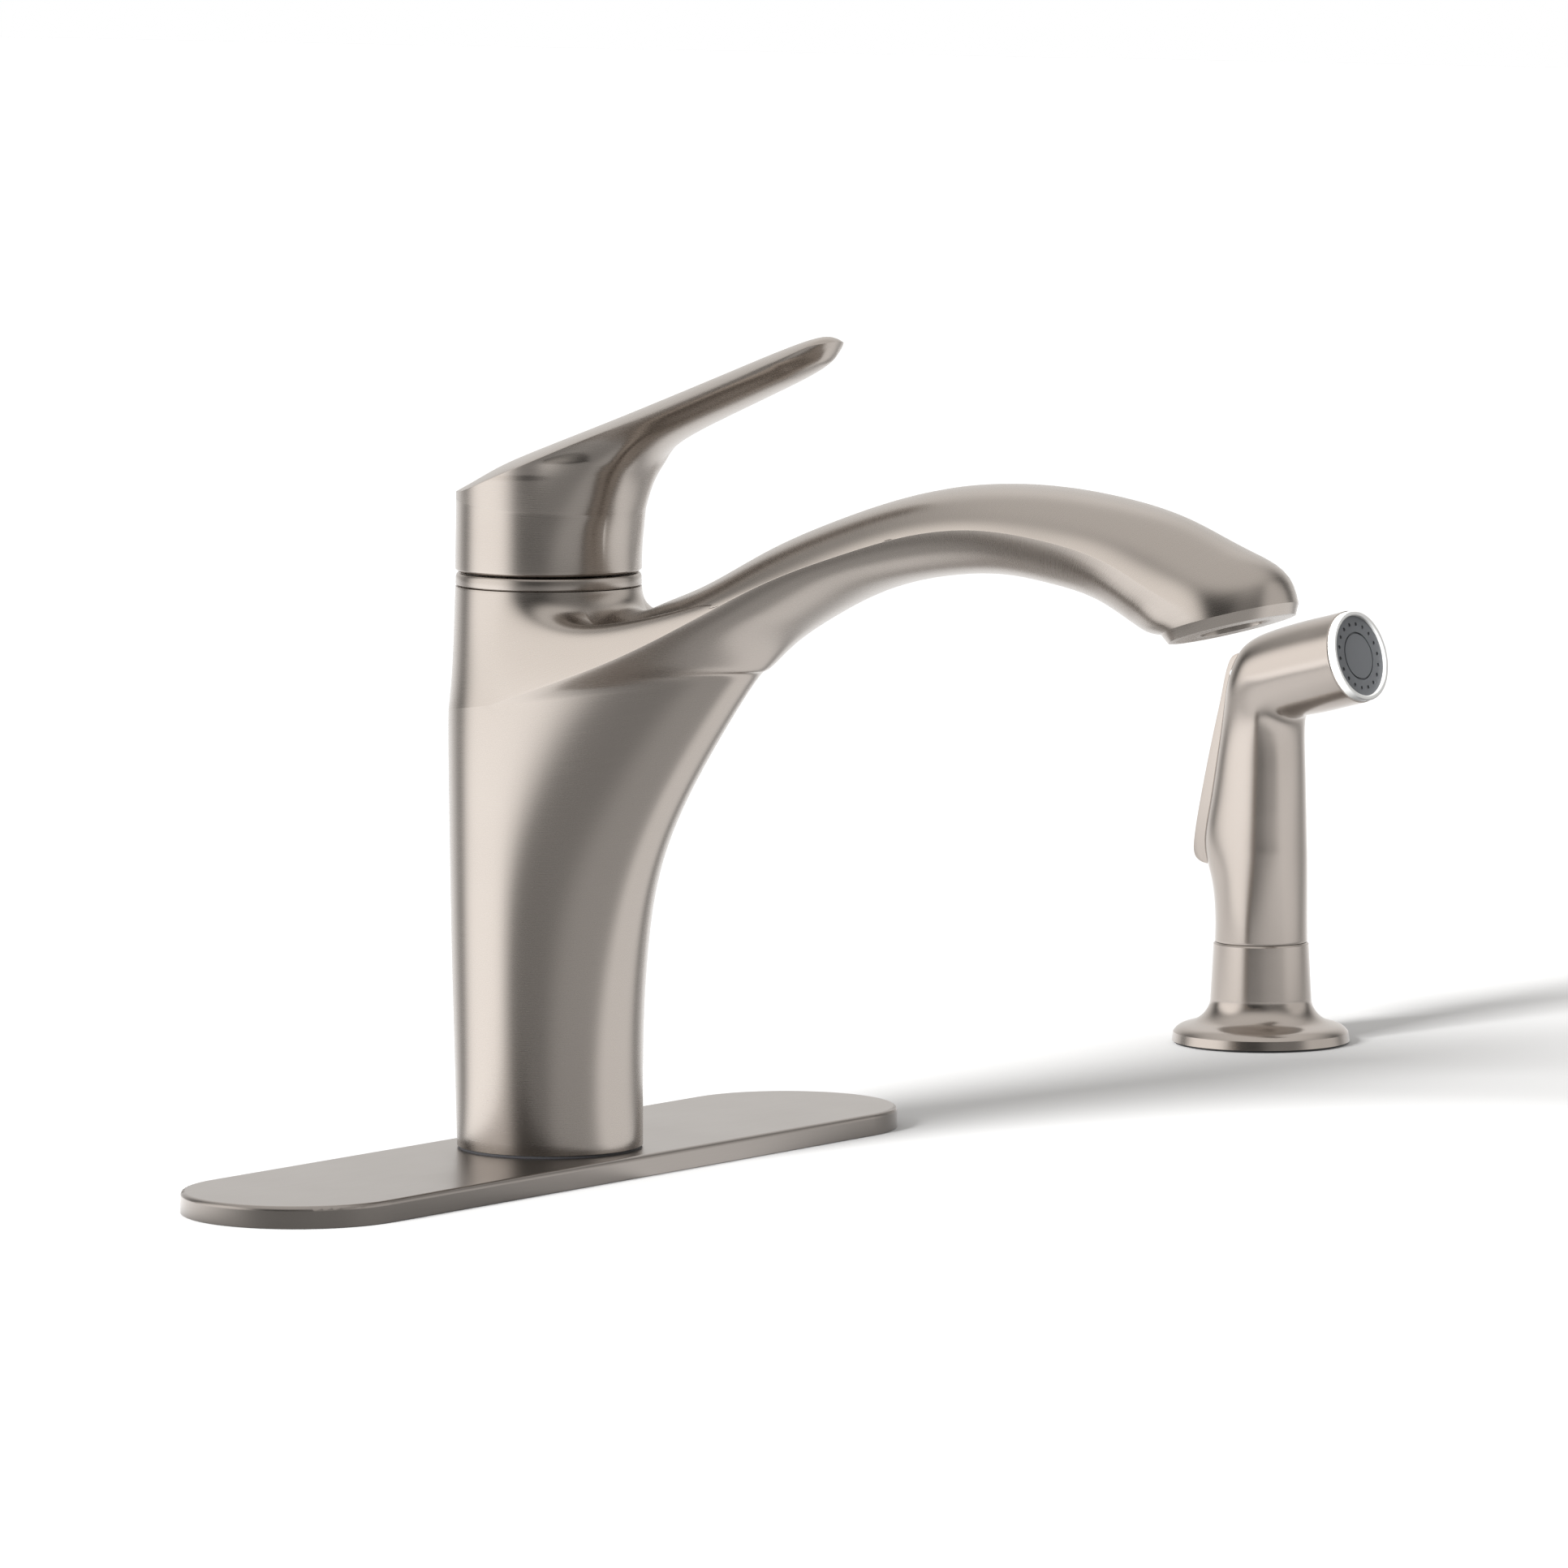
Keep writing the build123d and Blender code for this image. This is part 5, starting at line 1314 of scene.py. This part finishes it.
# ================================================================ stage, lights and camera
@dataclass
class Studio:
    """White floor and surroundings, soft light from the left front and the camera."""

    azimuth: float = 52.48  # degrees from the faucet's front towards -X
    elevation: float = 5.78
    distance: float = 2576.8
    target: tuple[float, float, float] = (99.54, 0.0, 91.82)
    focal: float = 222.07  # millimetres on a 36 mm square sensor
    sensor: float = 36.0
    light_colour: tuple[float, float, float, float] = (1.0, 0.985, 0.965, 1.0)
    dark: float = 0.07  # glow of the studio where no lobe reaches
    # axis, cosine where the lobe starts, cosine where it is full, strength
    lobes: tuple = (
        ((-0.74, 0.67, 0.12), 0.70, 0.98, 1.62),  # soft box at the left
        ((0.58, -0.81, 0.10), 0.74, 0.985, 0.85),  # card at the right
        ((-0.30, -0.95, 0.10), 0.72, 0.97, 0.22),  # faint fill beside the camera
        ((0.79, 0.61, 0.00), 0.45, 0.97, 0.91),  # background behind the object
        ((0.00, 0.00, 1.00), 0.30, 0.95, 0.88),  # overhead
    )
    floor_half: float = 9.0
    floor_bounce: float = 0.14  # floor's colour for light that bounces off it
    floor_white: float = 0.50  # floor's colour to the eye
    floor_lift: float = 0.04
    sun: float = 10.2
    sun_size: float = 17.0  # degrees across
    sun_way: tuple[float, float, float] = (0.90, -0.06, -0.42)

    def camera(self) -> None:
        """Places the camera that was fitted to the photograph."""
        a = np.radians(self.azimuth)
        e = np.radians(self.elevation)
        away = row(-np.sin(a) * np.cos(e), -np.cos(a) * np.cos(e), np.sin(e))
        place = (row(*self.target) + away * self.distance) * MM
        data = bpy.data.cameras.new("camera")
        data.lens = self.focal
        data.sensor_width = self.sensor
        data.sensor_fit = "HORIZONTAL"
        data.clip_start = 0.05
        data.clip_end = 60.0
        camera = bpy.data.objects.new("camera", data)
        bpy.context.scene.collection.objects.link(camera)
        camera.location = Vector(place)
        look = Vector(row(*self.target) * MM) - camera.location
        camera.rotation_euler = look.to_track_quat("-Z", "Y").to_euler()
        bpy.context.scene.camera = camera

    def glow(self, tree: bpy.types.NodeTree, direction: Socket) -> Socket:
        """Brightness of the studio in a direction, as an output socket.

        It is a low base plus, for each lobe, the lobe's strength times smootherstep of the
        cosine between the direction and the lobe's axis.

        Args:
            tree: node tree that takes the nodes.
            direction: the direction, of length 1.

        Returns:
            The brightness.
        """
        total = self.dark
        for axis, start, full, strength in self.lobes:
            dot = tree.nodes.new("ShaderNodeVectorMath")
            dot.operation = "DOT_PRODUCT"
            tree.links.new(direction, dot.inputs[0])
            dot.inputs[1].default_value = Vector(axis).normalized()
            span = tree.nodes.new("ShaderNodeMapRange")
            span.interpolation_type = "SMOOTHERSTEP"
            tree.links.new(dot.outputs["Value"], span.inputs["Value"])
            span.inputs["From Min"].default_value = start
            span.inputs["From Max"].default_value = full
            span.inputs["To Max"].default_value = strength
            add = tree.nodes.new("ShaderNodeMath")
            tree.links.new(span.outputs["Result"], add.inputs[0])
            if isinstance(total, float):
                add.inputs[1].default_value = total
            else:
                tree.links.new(total, add.inputs[1])
            total = add.outputs["Value"]
        return total

    def surroundings(self) -> None:
        """World: white to the eye, and the studio's glow for light and reflections.

        The lobe behind the object brings glossy and transmitted rays to the same white as
        the background that the eye sees there.
        """
        world = bpy.data.worlds.new("studio")
        bpy.context.scene.world = world
        world.use_nodes = True
        tree = world.node_tree
        tree.nodes.clear()
        output = tree.nodes.new("ShaderNodeOutputWorld")
        place = tree.nodes.new("ShaderNodeTexCoord")
        room = tree.nodes.new("ShaderNodeBackground")
        tree.links.new(self.glow(tree, place.outputs["Generated"]), room.inputs["Strength"])
        room.inputs["Color"].default_value = self.light_colour
        white = tree.nodes.new("ShaderNodeBackground")
        white.inputs["Color"].default_value = (1.0, 1.0, 1.0, 1.0)
        path = tree.nodes.new("ShaderNodeLightPath")
        mix = tree.nodes.new("ShaderNodeMixShader")
        tree.links.new(path.outputs["Is Camera Ray"], mix.inputs["Fac"])
        tree.links.new(room.outputs["Background"], mix.inputs[1])
        tree.links.new(white.outputs["Background"], mix.inputs[2])
        tree.links.new(mix.outputs["Shader"], output.inputs["Surface"])

    def floor(self) -> None:
        """White floor under the deck plate.

        To the eye it is pale and keeps the object's shadow. Glossy and transmitted rays see
        the studio's glow in the direction of the point from the body, so the floor is white
        in metal where it is the background and dark in front.
        """
        mesh = bpy.data.meshes.new("floor")
        half, low = self.floor_half, -0.0002
        corners = [(-half, -half, low), (half, -half, low), (half, half, low), (-half, half, low)]
        mesh.from_pydata(corners, [], [(0, 1, 2, 3)])
        floor = bpy.data.objects.new("floor", mesh)
        bpy.context.scene.collection.objects.link(floor)
        shader = Shader("white_floor")
        path = shader.nodes.new("ShaderNodeLightPath")
        pale = shader.ramp(path.outputs["Is Camera Ray"], self.floor_bounce, self.floor_white)
        shader.feed(shader.surface, "Base Color", pale)
        shader.surface.inputs["Roughness"].default_value = 0.9
        shader.surface.inputs["Specular IOR Level"].default_value = 0.0
        shader.surface.inputs["Emission Color"].default_value = (1.0, 1.0, 1.0, 1.0)
        place = shader.nodes.new("ShaderNodeTexCoord").outputs["Object"]
        outward = shader.nodes.new("ShaderNodeVectorMath")
        outward.operation = "NORMALIZE"
        shader.links.new(place, outward.inputs[0])
        seen = shader.nodes.new("ShaderNodeMath")
        seen.operation = "MAXIMUM"
        shader.links.new(path.outputs["Is Glossy Ray"], seen.inputs[0])
        shader.links.new(path.outputs["Is Transmission Ray"], seen.inputs[1])
        mirrored = shader.nodes.new("ShaderNodeMath")
        mirrored.operation = "MULTIPLY"
        glow = self.glow(shader.material.node_tree, outward.outputs["Vector"])
        shader.links.new(glow, mirrored.inputs[0])
        shader.links.new(seen.outputs["Value"], mirrored.inputs[1])
        lift = shader.ramp(path.outputs["Is Camera Ray"], 0.0, self.floor_lift)
        total = shader.nodes.new("ShaderNodeMath")
        shader.links.new(mirrored.outputs["Value"], total.inputs[0])
        shader.links.new(lift, total.inputs[1])
        shader.feed(shader.surface, "Emission Strength", total.outputs["Value"])
        mesh.materials.append(shader.material)

    def lamps(self) -> None:
        """One low, wide sun from the left that throws the long soft shadow."""
        data = bpy.data.lights.new("key", "SUN")
        data.energy = self.sun
        data.angle = np.radians(self.sun_size)
        key = bpy.data.objects.new("key", data)
        key.visible_glossy = False  # the metal mirrors the soft box instead
        bpy.context.scene.collection.objects.link(key)
        key.rotation_euler = Vector(self.sun_way).to_track_quat("-Z", "Y").to_euler()

    def set_up(self) -> None:
        """Builds the whole studio."""
        bpy.context.scene.view_settings.view_transform = "Standard"
        self.camera()
        self.surroundings()
        self.floor()
        self.lamps()


# ================================================================ dressing
@dataclass
class Dresser:
    """Gives every kept node of the frame its finish."""

    finishes: tuple = (
        (PLATE_NICKEL, ("deck_plate",)),
        (SPRAY_NICKEL, ("spray_holder",)),
        (MACHINED_BRASS, ("valve_body", "cartridge_nut", "cartridge_stem", "lever_carrier",
                          "mounting_nut", "cold_inlet", "hot_inlet", "spray_outlet")),
        (GROUND_STEEL, ("lever_pin", "trigger_pin", "diverter_spring")),
        (ZINC_STEEL, ("mounting_washer", "spray_washer")),
        (WHITE_RING, ("nozzle_ring",)),
        (GREY_FACE, ("spray_face", "face_button")),
        # base_ring is dark as painted shade, for the shadow in the seam under the body's foot; the
        # tray, sleeve and nut are dark plastic
        (DARK_PLASTIC_AND_SEAM_SHADE, ("plate_tray", "base_ring", "spray_sleeve", "spray_nut")),
        (AERATOR_PLASTIC, ("aerator_housing", "aerator_screen")),
        (PALE_PLASTIC, ("lower_bush", "upper_bush", "diverter_sleeve", "diverter_piston",
                        "cartridge", "valve_plunger")),
        (BLACK_RUBBER, ("lower_oring", "upper_oring", "cartridge_seal", "aerator_washer",
                        "spray_gasket", "hose_tail")),
    )

    def dress(self) -> None:
        """Makes each finish once and puts it on its nodes."""
        for finish, names in self.finishes:
            material = finish.make()
            for name in names:
                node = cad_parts[name]
                node.data.materials.clear()
                node.data.materials.append(material)
            log.info("%s on %s", finish.name, ", ".join(names))


def add_piece(thing: bpy.types.Object, body: str, finish: Metal | Plastic,
              nodes: tuple[str, ...] = ()) -> None:
    """Dresses a new piece, lets it ride on a body and hides the nodes that it stands for.

    Args:
        thing: the new object.
        body: name of the body that carries it.
        finish: its finish.
        nodes: nodes of the frame that it replaces.
    """
    thing.data.materials.append(finish.make())
    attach(thing, body)
    if nodes:
        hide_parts(*nodes)
    log.info("%s rides on %s", thing.name, body)


def main() -> None:
    """Builds the faucet's visible pieces and the studio."""
    logging.basicConfig(level=logging.INFO, format="%(message)s")
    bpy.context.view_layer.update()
    Dresser().dress()
    add_piece(BodyAndSpout().skin(), "spout", CAST_NICKEL, ("spout_body",))
    add_piece(Lever().skin(), "lever", CAST_NICKEL, ("lever_handle",))
    add_piece(TrimRing().skin(), "base", LEVEL_NICKEL, ("trim_ring",))
    add_piece(Handset().skin(), "handset", SPRAY_NICKEL, ("handset_body",))
    add_piece(Trigger().skin(), "trigger", SPRAY_NICKEL, ("trigger",))
    Studio().set_up()


if __name__ == "__main__":
    main()
